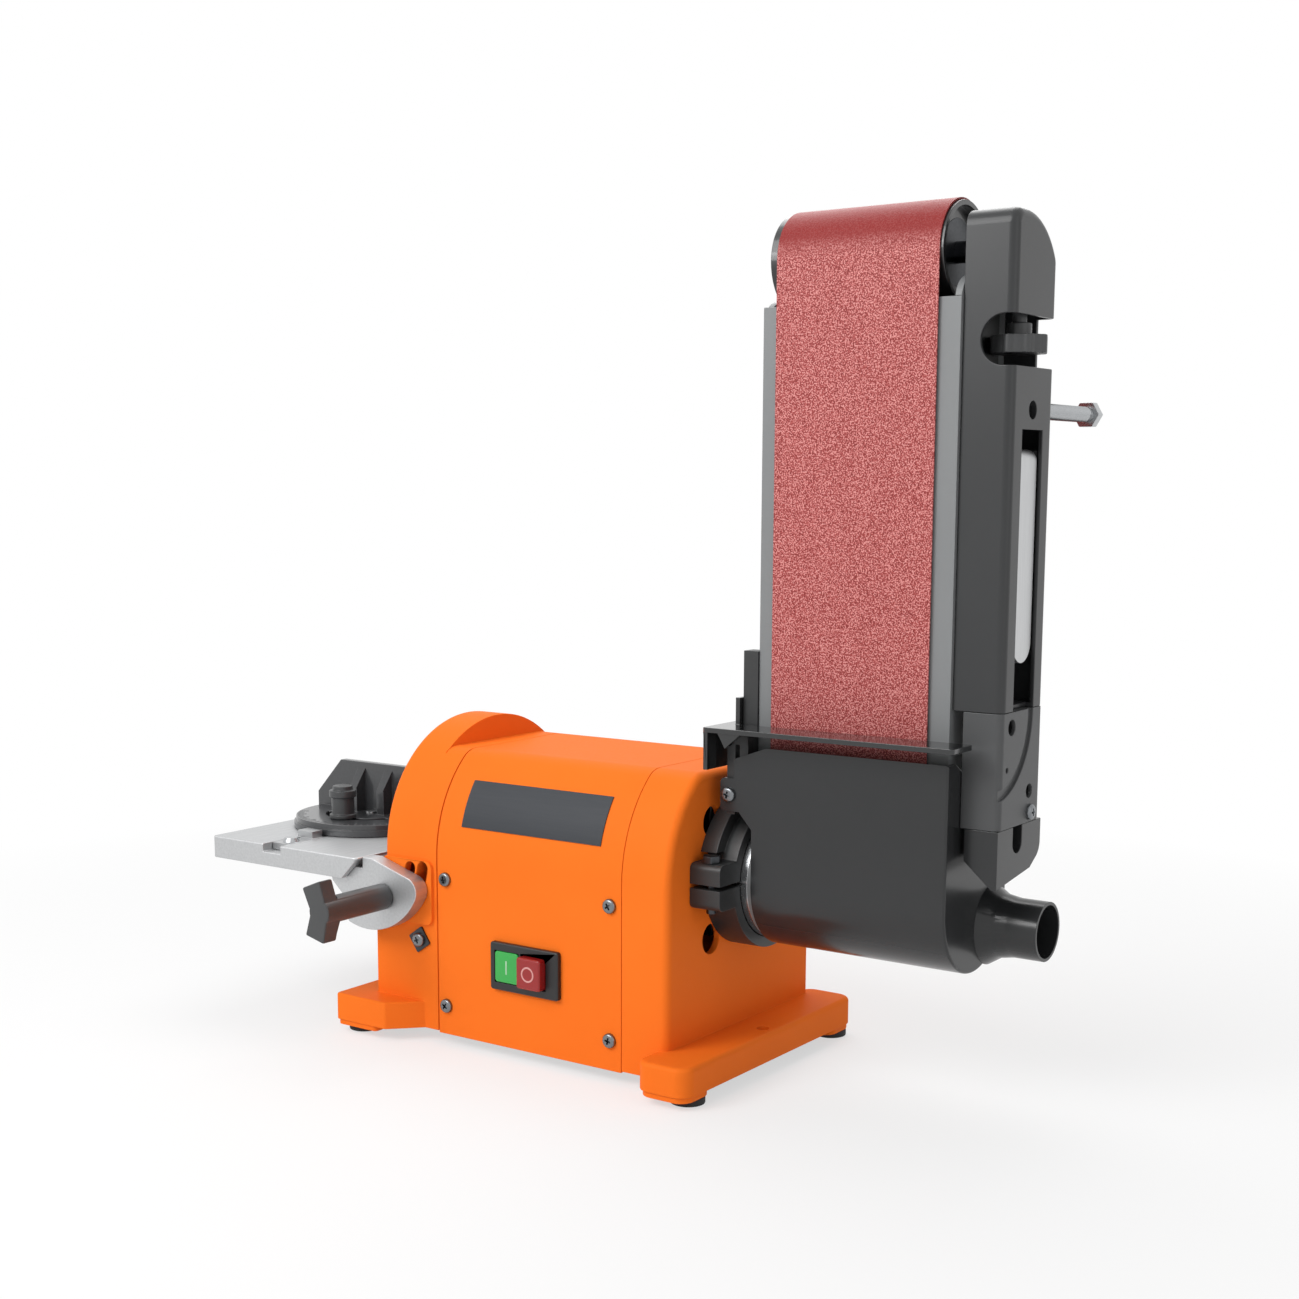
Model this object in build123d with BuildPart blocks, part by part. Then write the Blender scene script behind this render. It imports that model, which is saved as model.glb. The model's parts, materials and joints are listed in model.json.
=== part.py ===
from build123d import *
import math
import os

os.makedirs("parts", exist_ok=True)

# Sizes are in millimetres. X runs along the motor shaft, with the belt at +X and the disc at -X.
# Y runs to the back, Z is up and the bench top is z = 0. Each group gives its sizes first,
# then the places that follow from them.

# Motor housing, set by the disc that it guards
axis_h = 123.0
disc_r = 76.0
guard_gap = 4.0
wall = 4.0
top_drop = 16.5
shoulder_r = 18.0
rim_round = 5.0
edge_round = 3.0
left_reach = 67.5
right_reach = 79.5
right_body_l = 33.5
end_wall = 4.5
guard_l = 45.5
guard_rim_l = 29.8
cheek_l = 7.6
cheek_drop = 23.0
bracket_set = 26.0
bracket_t = 5.0

housing_r = disc_r + guard_gap + wall
top_rise = housing_r - top_drop
seam_left = -left_reach
seam_right = right_reach
end_face = seam_right + right_body_l
guard_face = seam_left - guard_l
guard_step = guard_face + guard_rim_l
cheek_end = guard_face - cheek_l
cheek_top = axis_h - cheek_drop
bracket_left = guard_face + bracket_set
bracket_right = bracket_left + bracket_t

# Base flanges with their corner lobes
flange_l = 28.5
flange_top = 26.0
flange_t = 6.0
skirt_bottom = 8.0
skirt_t = 5.0
lobe_bottom = 4.5
lobe_l = 34.0
lobe_w = 30.0
lobe_inset = 1.0
lobe_root = 2.0
left_lobe_l = 44.0
left_taper_l = 18.5
right_lobe_l = 36.9
left_front = 19.0
right_front = 23.0
back_over = 11.0
left_corner_r = 3.0
right_corner_r = 10.0
foot_inset = 11.5
foot_front = 3.0
foot_r = 10.5
foot_recess = 3.0
foot_screw_grip = 12.0
bench_inset = 9.5
bench_hole_y = -5.6
bench_hole_r = 4.0
bench_boss_r = 5.4
bench_boss_l = 8.0

flange_under = flange_top - flange_t
flange_left = guard_face - flange_l
flange_right = end_face + flange_l
left_front_y = -housing_r - left_front
right_front_y = -housing_r - right_front
back_y = housing_r + back_over
foot_spots = [
    (x, y)
    for x in (flange_left + foot_inset, flange_right - foot_inset)
    for y in (-housing_r - foot_front, housing_r)
]

# Screws, all of one size
screw_head_r = 4.6
screw_head_h = 2.6
screw_shank_r = 2.5
screw_len = 9.0
screw_clear = 0.3
head_taper = 18.0
cross_l = 4.4
cross_w = 1.0
cross_d = 1.2

# Centre cover, which laps over a tongue on each casting
cover_t = 2.5
cover_foot = 7.0
lap_gap = 0.2
left_seam = 0.8
right_seam = 0.3
tongue_t = 3.0
tongue_len = 14.0
tongue_root = 6.0
cover_screw_left = 7.7
cover_screw_right = 8.6
cover_screw_low = 19.2
cover_screw_drop = 13.0

tongue_r = housing_r - cover_t - lap_gap
tongue_rise = top_rise - cover_t - lap_gap
cover_screw_x = (seam_left + cover_screw_left, seam_right - cover_screw_right)
cover_screw_z = (cover_foot + cover_screw_low, axis_h - cover_screw_drop)

# Motor
shaft_r = 10.0
journal_r = 8.5
bearing_r = 20.0
bearing_w = 12.0
bearing_step = 3.0
bearing_seat = 1.5
bearing_boss_r = 27.0
race_t = 3.0
race_d = 1.0
shaft_hole_r = 12.0
core_mid = 5.0
core_l = 80.0
stator_gap = 1.0
stator_bore_r = 33.8
air_gap = 0.6
slot_count = 24
slot_l = 16.0
slot_w = 4.0
slot_set = 9.0
winding_t = 20.0
winding_set = 3.2
winding_l = 20.0
winding_round = 6.0
fan_gap = 5.5
fan_r = 48.0
fan_l = 14.0
fan_plate = 2.0
fan_hub_t = 6.0
blade_count = 9
blade_t = 2.0
blade_set = 4.0
vent_r = 9.5
vent_set = 6.5

core_left = core_mid - core_l / 2
core_right = core_mid + core_l / 2
bearing_left_x = bracket_left + bearing_step
bearing_right_x = end_face - end_wall - bearing_seat - bearing_w
stator_r = top_rise - cover_t - stator_gap
rotor_r = stator_bore_r - air_gap
winding_in_r = stator_bore_r + winding_set
winding_out_r = winding_in_r + winding_t
fan_x = core_right + winding_l + fan_gap

# Base plate, cradle and capacitor
plate_t = 2.5
plate_inset = 15.5
plate_side = 17.0
plate_corner_r = 6.0
plate_clear = 1.0
cradle_side = 18.0
cradle_drop = 37.0
cradle_inset = 6.0
cradle_leg = 14.0
cradle_post = 10.0
cradle_foot = 7.0
saddle_t = 8.0
cap_r = 15.0
cap_l = 65.0
cap_round = 2.0
cap_back = 3.5
cap_set = 10.0

plate_half = housing_r - plate_side
cradle_half = stator_r - cradle_side
cradle_top = axis_h - cradle_drop
window_low = flange_under + cradle_foot
window_high = axis_h - stator_r - saddle_t
cap_y = housing_r - cover_t - cap_back - cap_r

# Bare label plate on the cover's front shoulder, in degrees above the axis
label_low = 15.3
label_high = 36.9
label_t = 0.6
label_glue = 0.05
label_in_left = 19.7
label_in_right = 17.5

# Switch
switch_x = 6.6
switch_z = 60.3
bezel_w = 54.0
bezel_h = 31.0
bezel_t = 3.5
bezel_corner_r = 2.0
bezel_round = 1.2
pair_shift = -3.0
button_w = 18.6
button_h = 20.0
button_pitch = 21.3
button_clear = 0.4
button_depth = 7.0
button_travel = 3.0
button_corner_r = 2.0
start_proud = 0.2
start_round = 0.8
stop_proud = 5.8
stop_round = 1.6
switch_wall = 1.5
switch_depth = 30.0
cutout_clear = 0.5

pair_x = switch_x + pair_shift
button_x = (pair_x - button_pitch / 2, pair_x + button_pitch / 2)
switch_w = button_pitch + button_w + 2 * (button_clear + switch_wall)
switch_h = button_h + 2 * (button_clear + switch_wall)

# Cord gland at the back
gland_x = 45.0
gland_z = 40.0
gland_r = 8.0
gland_hex_r = 12.0
gland_hex_l = 5.0
gland_nose_r = 9.5
gland_nose_l = 11.0
gland_taper = 6.0
gland_tail_l = 9.0
cord_hole_r = 4.5

# Disc on the left end of the shaft
disc_proud = 3.5
abrasive_t = 1.0
disc_edge = 1.0
disc_plate_t = 8.0
disc_hub_r = 20.0
disc_hub_gap = 4.0
shaft_set = 12.5

disc_face = guard_face - disc_proud
disc_back = disc_face + abrasive_t
disc_hub_end = bracket_left - disc_hub_gap
shaft_left = disc_face + shaft_set

# Tilting table and its trunnions
pivot_set = 1.0
table_drop = 3.1
table_h = 15.2
table_plate = 7.0
table_gap = 3.0
table_l = 136.5
table_skirt = 5.0
table_edge = 1.5
table_corner_r = 3.0
table_round = 1.0
table_bevel = 30.0
mitre_set = 78.5
mitre_slot_w = 16.5
mitre_slot_d = 5.5
slot_wall = 5.75
trunnion_gap = 0.5
trunnion_t = 11.5
trunnion_r = 48.0
nose_round = 10.0
nose_angle = -15.0
low_angle = -63.0
tail_angle = -111.0
trunnion_heel = 34.5
trunnion_toe = 4.5
trunnion_waist = 31.2
trunnion_waist_drop = 18.9
trunnion_hip = 21.1
trunnion_hip_drop = 28.1
back_hex_r = 7.5
back_hex_l = 5.5
boss_t = 2.5
boss_step = 2.5
boss_h = 42.5
boss_rise = 0.6
boss_corner_r = 5.0
guide_r = 38.3
guide_angle = -54.0
guide_pin_r = 4.0
pin_depth = 5.0
lock_r = 28.0
lock_angle = -58.0
lock_stud_r = 3.8
lock_fit = 0.1
slot_clear = 0.4
slot_end = 2.0
tilt_range = 45.0

pivot_x = disc_face + pivot_set
table_top = axis_h - table_drop
table_bottom = table_top - table_h
table_inner = disc_face - table_gap
table_left = table_inner - table_l
plate_under = table_top - table_plate
mitre_x = table_inner - mitre_set
trunnion_in = housing_r + boss_t + trunnion_gap
trunnion_out = trunnion_in + trunnion_t
table_half = trunnion_out + trunnion_gap + table_skirt
boss_left = guard_face
boss_right = seam_left - boss_step
boss_top = table_top + boss_rise
boss_bottom = boss_top - boss_h

# Angle pointer on the left casting
pointer_set = 31.0
pointer_drop = 10.7
pointer_w = 13.0
pointer_t = 1.4
pointer_turn = 35.0
pointer_corner_r = 1.0

pointer_x = guard_face + pointer_set
pointer_z = boss_bottom - pointer_drop

# Wing knob that locks the tilt
knob_shaft_r = 8.6
knob_shaft_l = 47.5
knob_gap = 0.3
wing_l = 18.5
wing_root = 14.0
wing_tip = 16.0
wing_t = 12.0
wing_angles = (112, -104)

wing_start = trunnion_out + knob_shaft_l
wing_end = wing_start + wing_t

# Belt, drum and idler
drum_r = 28.0
belt_gap = 0.3
belt_t = 1.0
belt_w = 101.6
belt_centres = 365.2

belt_in = drum_r + belt_gap
idler_z = axis_h + belt_centres

# Clamp collar and the sleeve that turns in it
collar_r = 45.0
collar_l = 21.5
collar_lobe_r = 53.0
collar_lobe_l = 11.5
sleeve_r = 38.0
sleeve_t = 7.0
pivot_clear = 0.3
clamp_ear_l = 61.0
clamp_ear_rise = 15.0
clamp_ear_drop = 13.0
clamp_slit = 2.5
clamp_slit_rise = 1.0
clamp_ear_round = 4.0
clamp_inset = 7.5
clamp_r = 3.0
clamp_hex_r = 5.8
clamp_hex_l = 4.5
clamp_over = 3.0

collar_x = end_face + collar_l
sleeve_in_r = sleeve_r - sleeve_t
vent_circle = collar_r + vent_set
clamp_x = (end_face + collar_x) / 2
clamp_y = clamp_inset - clamp_ear_l
collar_lobe_low = axis_h + clamp_ear_rise + clamp_hex_l + pivot_clear

# Belt arm: hood, frame and platen
hood_set = 18.0
hood_r = 41.0
hood_t = 2.0
hood_round = 1.5
hood_front_rise = 84.8
hood_back_rise = 42.0
hood_lip = 11.0
hood_cut_l = 22.0
hood_cut_h = 8.0
relief_rise = 49.0
relief_slope = 14.0
frame_set = 8.2
frame_t = 4.0
frame_d = 47.1
frame_over = 9.5
frame_fit = 0.6
frame_hole_r = 24.0
frame_round = 14.0
frame_drop_left = 22.0
frame_drop_right = 14.2
platen_drop = 25.9
belt_set = 9.8
belt_clear = 12.9
hood_clear = 6.5
rib_count = 4
rib_low = 7.0
rib_high = 50.3
pad_t = 1.0
pad_gap = 0.2
pad_inset = 1.0
pad_low = 12.0
pad_high = 7.3

hood_left = end_face + hood_set
frame_left = hood_left + frame_set
belt_left = frame_left + belt_set
belt_right = belt_left + belt_w
frame_right = belt_right + belt_clear
hood_right = frame_right + hood_clear
relief_x = frame_left + frame_t + lap_gap
hood_front_top = axis_h + hood_front_rise
hood_back_top = axis_h + hood_back_rise
frame_foot = hood_back_top
frame_front = pad_gap + pad_t - belt_in
frame_back = frame_front + frame_d
frame_mid_y = (frame_front + frame_back) / 2
frame_top_left = idler_z - frame_drop_left
frame_top_right = idler_z - frame_drop_right
platen_top = idler_z - platen_drop
rib_pitch = (platen_top - rib_high - frame_foot - rib_low) / (rib_count - 1)

# Drive drum and idler roller
drum_over_left = 3.0
drum_over_right = 2.4
drum_wall = 5.0
drum_hollow = 40.0
nut_r = 14.0
nut_l = 7.0
shaft_over = 8.0
idler_over_left = 5.1
idler_over_right = 2.0
idler_bore_r = 16.0
idler_rim = 3.0
idler_recess = 5.0
idler_bearing_r = 18.5
idler_bearing_w = 12.0
axle_r = 6.0
axle_fit = 0.1
axle_head_r = 9.0
axle_head_l = 3.0
axle_set = 1.0

drum_left = belt_left - drum_over_left
drum_right = belt_right + drum_over_right
shaft_end = drum_right + shaft_over
idler_left = belt_left - idler_over_left
idler_right = belt_right + idler_over_right

# Side covers on the belt arm
rim_gap = 0.2
side_l = 29.8
side_wall = 2.5
side_round = 5.0
cover_front = -24.6
cover_back = 31.0
side_rise = 19.3
side_seam_rise = 113.7
seam_gap = 0.2
crown_r = 44.0
crown_y = -8.0
crown_front_r = 9.0
crown_back_r = 10.0
lower_rise = 47.7
lower_round = 4.0
notch_set = 10.3
notch_back = 10.5
notch_low_drop = 63.5
notch_h = 27.3
post_y = 3.1
post_drop = 86.5
post_r = 7.5
post_hole_r = 5.0
post_foot = 4.0
post_sink = 1.0
groove_y = -30.5
groove_drop = 2.0
groove_r = 44.7
groove_w = 6.0
groove_d = 1.8
peep_y = -10.7
peep_drop = 8.9
peep_r = 4.5
drain_y = 15.7
drain_rise = 18.2
drain_r = 4.0
pin_hole_y = -15.5
pin_hole_rise = 33.6
pin_hole_r = 1.5
lower_screw_y = 16.8
lower_screw_rise = 5.9

side_rim = frame_right + rim_gap
cover_outer_x = side_rim + side_l
lower_rim = hood_right + rim_gap
side_top = idler_z + side_rise
side_seam = axis_h + side_seam_rise
lower_bottom = axis_h + lower_rise
lower_top = side_seam - seam_gap
crown_end = math.degrees(math.acos((cover_back - crown_y) / crown_r))
notch_x = side_rim + notch_set
notch_low = idler_z - notch_low_drop
notch_high = notch_low + notch_h
post_z = idler_z - post_drop
post_seat_x = side_rim + post_foot
lower_screw_z = lower_bottom + lower_screw_rise

# Bracket below the side covers
chin_gap = 3.0
chin_front = 0.4
chin_back = 3.5
chin_h = 33.3
chin_slope_h = 15.0
chin_edge = 3.3
chin_tail_h = 19.1
chin_knee_h = 27.4
chin_knee_l = 13.5
chin_round = 10.0
lug_y = -5.0
lug_w = 20.0
lug_h = 24.0
lug_drop = 4.7
chin_tongue_y = 5.0
chin_tongue_w = 40.0
chin_tongue_h = 22.0
chin_tongue_rise = 5.0
chin_slot_y = 2.0
chin_slot_drop = 3.7
chin_slot_l = 24.0
chin_slot_w = 12.0
chin_screw_d = 14.0

chin_left = hood_right + chin_gap
chin_right = cover_outer_x - rim_gap
chin_low = lower_bottom - chin_h

# Tension lever, its bracket and the spring
lever_y = 3.65
lever_slot_w = 27.1
lever_slot_drop = 97.2
lever_w = 24.0
lever_t = 4.0
lever_set = 8.5
lever_drop = 114.2
lever_tail = 25.8
hub_r = 6.5
pin_r = 3.0
pin_fit = 0.1
cheek_t = 3.7
cheek_gap = 0.95
cheek_nose = 5.3
cheek_h = 14.0
cheek_lower = 1.0
backplate_t = 3.0
backplate_front = 20.5
backplate_h = 22.0
backplate_lower = 0.5
shelf_rise = 7.5
shelf_t = 3.0
shelf_w = 13.0
spring_set = 11.0
spring_y = -14.0
spring_r = 5.0
spring_wire_r = 0.9
spring_turns = 6
spring_fit = 0.1
spring_seat = 7.0

lever_pivot_x = cover_outer_x - lever_set
lever_pivot_z = idler_z - lever_drop
lever_slot_top = idler_z - lever_slot_drop
lever_bottom = side_seam + lever_tail
lever_face = lever_pivot_x + hub_r
bracket_half = lever_w / 2 + cheek_gap + cheek_t
shelf_top = lever_pivot_z + shelf_rise + shelf_t

# Idler carriage and tracking knob
carriage_gap = 0.5
carriage_t = 3.2
carriage_w = 28.0
carriage_corner_r = 6.0
carriage_drop = 71.2
carriage_rise = 6.8
axle_boss_r = 12.0
axle_boss_l = 14.0
tab_drop = 25.2
tab_t = 5.0
tab_w = 18.0
tab_over = 6.0
spring_foot_w = 24.0
spring_foot_y = -8.0
spring_foot_t = 3.0
knob_set = 9.5
knob_y = 3.0
knob_drop = 56.2
knob_r = 15.0
knob_lobe_r = 3.4
knob_lobe_circle = 12.8
knob_lobes = 8
knob_h = 10.0
knob_neck_r = 6.75
knob_neck_l = 6.5
knob_stud_r = 4.0
knob_stud_over = 7.0
knob_fit = 0.3

carriage_left = frame_right + carriage_gap
carriage_bottom = idler_z - carriage_drop
carriage_top = idler_z + carriage_rise
spring_x = carriage_left + spring_set
tab_z = idler_z - tab_drop
knob_x = cover_outer_x - knob_set
knob_low = idler_z - knob_drop
spring_rise = carriage_bottom - shelf_top - 2 * (spring_wire_r + spring_fit)

# Support bolt at the back of the side cover
support_set = 14.1
support_drop = 85.6
support_r = 4.2
support_tip = 120.5
support_hex_r = 8.2
support_head = 7.0
support_root = 20.0
support_boss_r = 9.0
support_boss_l = 10.0
support_boss_sink = 1.0

support_x = cover_outer_x - support_set
support_z = idler_z - support_drop

# Work stop on its bar
stop_rise = 11.7
stop_t = 3.0
stop_over_left = 13.0
stop_over_right = 10.0
stop_over_front = 15.0
stop_belt_gap = 2.2
stop_corner_r = 2.0
stop_travel = 8.0
stop_screw_y = -23.2
stop_screw_rise = 8.5
stop_clear = 0.3
ear_set = 5.0
ear_t = 3.0
ear_front = -32.0
ear_back = -8.0
ear_h = 16.0
end_h = 25.5
end_front = 1.0
end_knee = 31.0
end_back = 20.5
end_slope_h = 9.0
link_front = 50.0
link_back = 10.0
stop_bar_front = -28.4
stop_bar_back = -18.0
stop_bar_rise = 44.0
stop_bar_drop = 11.2
leg_l = 5.6
leg_gap = 0.4
leg_back = -22.0
leg_h = 47.0
leg_drop = 53.5
lip_h = 12.0
gusset_set = 9.0
gusset_l = 16.0
gusset_h = 9.0
gusset_t = 4.0
gusset_inset = 2.0

stop_top = hood_front_top + stop_rise
stop_left = hood_left - stop_over_left
stop_right = hood_right + stop_over_right
stop_front = -hood_r - stop_over_front
stop_back = -belt_in - belt_t - stop_belt_gap
stop_screw_z = stop_top + stop_screw_rise
ear_left = hood_left - ear_set
stop_bar_left = ear_left + ear_t + stop_clear
stop_bar_low = stop_top - stop_bar_drop
foot_plate_t = stop_bar_drop - stop_t - stop_clear
stop_bar_top = stop_top + stop_bar_rise
leg_right = hood_left - leg_gap
leg_left = leg_right - leg_l
lip_left = hood_left + hood_t + leg_gap

# Hood tab and its screw
hood_screw_set = 3.5
hood_screw_drop = 29.8
hood_tab_w = 15.0
hood_tab_h = 20.0
hood_tab_set = 2.0
hood_tab_round = 3.0

hood_screw_x = hood_left - hood_screw_set
hood_screw_z = hood_front_top - hood_screw_drop

# Dust port
port_y = 22.4
port_drop = 16.3
port_l = 35.0
port_pad_r = 24.0
port_root_r = 19.0
port_mouth_r = 17.5
port_hole_r = 11.0
port_flare = 8.0
port_cuff = 18.0
port_floor = 2.0

port_z = axis_h - port_drop
port_end = hood_right + port_l

# Mitre gauge
bar_side = 0.5
bar_under = 0.3
bar_sunk = 0.2
bar_start = -95.0
bar_end = 85.0
head_y = -5.0
head_r = 55.0
head_gap = 0.3
head_t = 8.0
tier_t = 3.6
tier_in = 1.5
head_back = 4.0
pivot_r = 4.0
pivot_fit = 0.1
pivot_over = 1.0
fence_half = 57.0
fence_top_half = 33.5
fence_h = 43.0
fence_side_h = 17.8
fence_t = 6.0
brace_set = 13.0
brace_w = 7.0
brace_d = 9.0
brace_drop = 4.0
brace_slope = 14.0
mitre_range = 60.0
mitre_knob_set = 29.0
mitre_stud_r = 2.5
mitre_slot_side = 0.8
mitre_slot_end = 0.4
mitre_foot_r = 9.5
mitre_foot_l = 3.0
mitre_body_r = 8.0
mitre_body_l = 12.0
mitre_cap_r = 9.5
mitre_cap_l = 5.0
mitre_top_r = 7.0
mitre_top_l = 3.0
stud_hole_r = 2.6
stud_hole_d = 3.0
stud_len = 2.5
pointer_block_w = 14.0
pointer_block_l = 10.0
pointer_block_h = 5.0
pointer_block_gap = 2.0
mitre_screw_gap = 25.0
mitre_screw_r = 6.0
mitre_screw_h = 2.5
mitre_screw_taper = 30.0

bar_w = mitre_slot_w - 2 * bar_side
bar_bottom = table_top - mitre_slot_d + bar_under
bar_top = table_top - bar_sunk
head_low = table_top + head_gap
head_top = head_low + head_t
mitre_knob_y = head_y - mitre_knob_set
mitre_screw_y = head_y - head_r - mitre_screw_gap
pointer_block_y = head_y - head_r - pointer_block_gap - pointer_block_l / 2
mitre_sweep = mitre_range + math.degrees(math.asin((mitre_stud_r + mitre_slot_end) / mitre_knob_set))

# The object's own origin: middle of its box on the bench
origin_x = (table_left + port_end) / 2
origin_y = (support_tip - wing_end) / 2


def save(piece, name):
    """Moves a finished piece to the object's own origin, labels it and writes its STEP file."""
    placed = piece.part.moved(Location((-origin_x, -origin_y, 0)))
    placed.label = name
    export_step(placed, "parts/" + name + ".step")


def arch(radius, flat, foot):
    """Housing section in Y and Z: an arch about the motor axis on straight sides."""
    with BuildSketch() as section:
        with Locations((0, axis_h)):
            Circle(radius)
        with Locations((0, (axis_h + foot) / 2)):
            Rectangle(2 * radius, axis_h - foot)
        if flat is not None:
            with Locations((0, axis_h + flat + radius)):
                Rectangle(4 * radius, 2 * radius, mode=Mode.SUBTRACT)
            fillet(section.vertices().group_by(Axis.Y)[-1], shoulder_r)
    return section.sketch


def flange(end, seam, lobe_x, taper, front_y, corner_r):
    """Outline of one base flange from its outer end to the seam, with a lobe at each corner."""
    with BuildSketch() as outline:
        with BuildLine():
            Polyline(
                (end, front_y),
                (lobe_x, front_y),
                (lobe_x + taper, -housing_r),
                (seam, -housing_r),
                (seam, housing_r),
                (lobe_x + taper, housing_r),
                (lobe_x, back_y),
                (end, back_y),
                close=True,
            )
        make_face()
        corners = outline.vertices().filter_by(lambda v: abs(v.Y) > housing_r + lobe_inset)
        fillet(corners, min(corner_r, back_over - lobe_inset))
    return outline.sketch


def ring(outer_r, inner_r, height):
    """Ring in Y and Z about the shaft line at a height."""
    with BuildSketch() as section:
        with Locations((0, height)):
            Circle(outer_r)
            Circle(inner_r, mode=Mode.SUBTRACT)
    return section.sketch


def arc_slot(radius, width, start, end):
    """Slot along an arc about the table's tilt axis, in X and Z, from start to end in degrees."""
    first = math.radians(start)
    last = math.radians(end)
    with BuildSketch() as slot:
        with BuildLine():
            CenterArc((pivot_x, table_top), radius + width / 2, start, end - start)
            CenterArc((pivot_x, table_top), radius - width / 2, start, end - start)
            CenterArc(
                (pivot_x + radius * math.cos(last), table_top + radius * math.sin(last)),
                width / 2,
                end,
                180,
            )
            CenterArc(
                (pivot_x + radius * math.cos(first), table_top + radius * math.sin(first)),
                width / 2,
                start + 180,
                180,
            )
        make_face()
    return slot.sketch


def on_tilt_circle(radius, angle):
    """Point in X and Z at an angle on a circle about the table's tilt axis."""
    turn = math.radians(angle)
    return (pivot_x + radius * math.cos(turn), table_top + radius * math.sin(turn))


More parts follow.
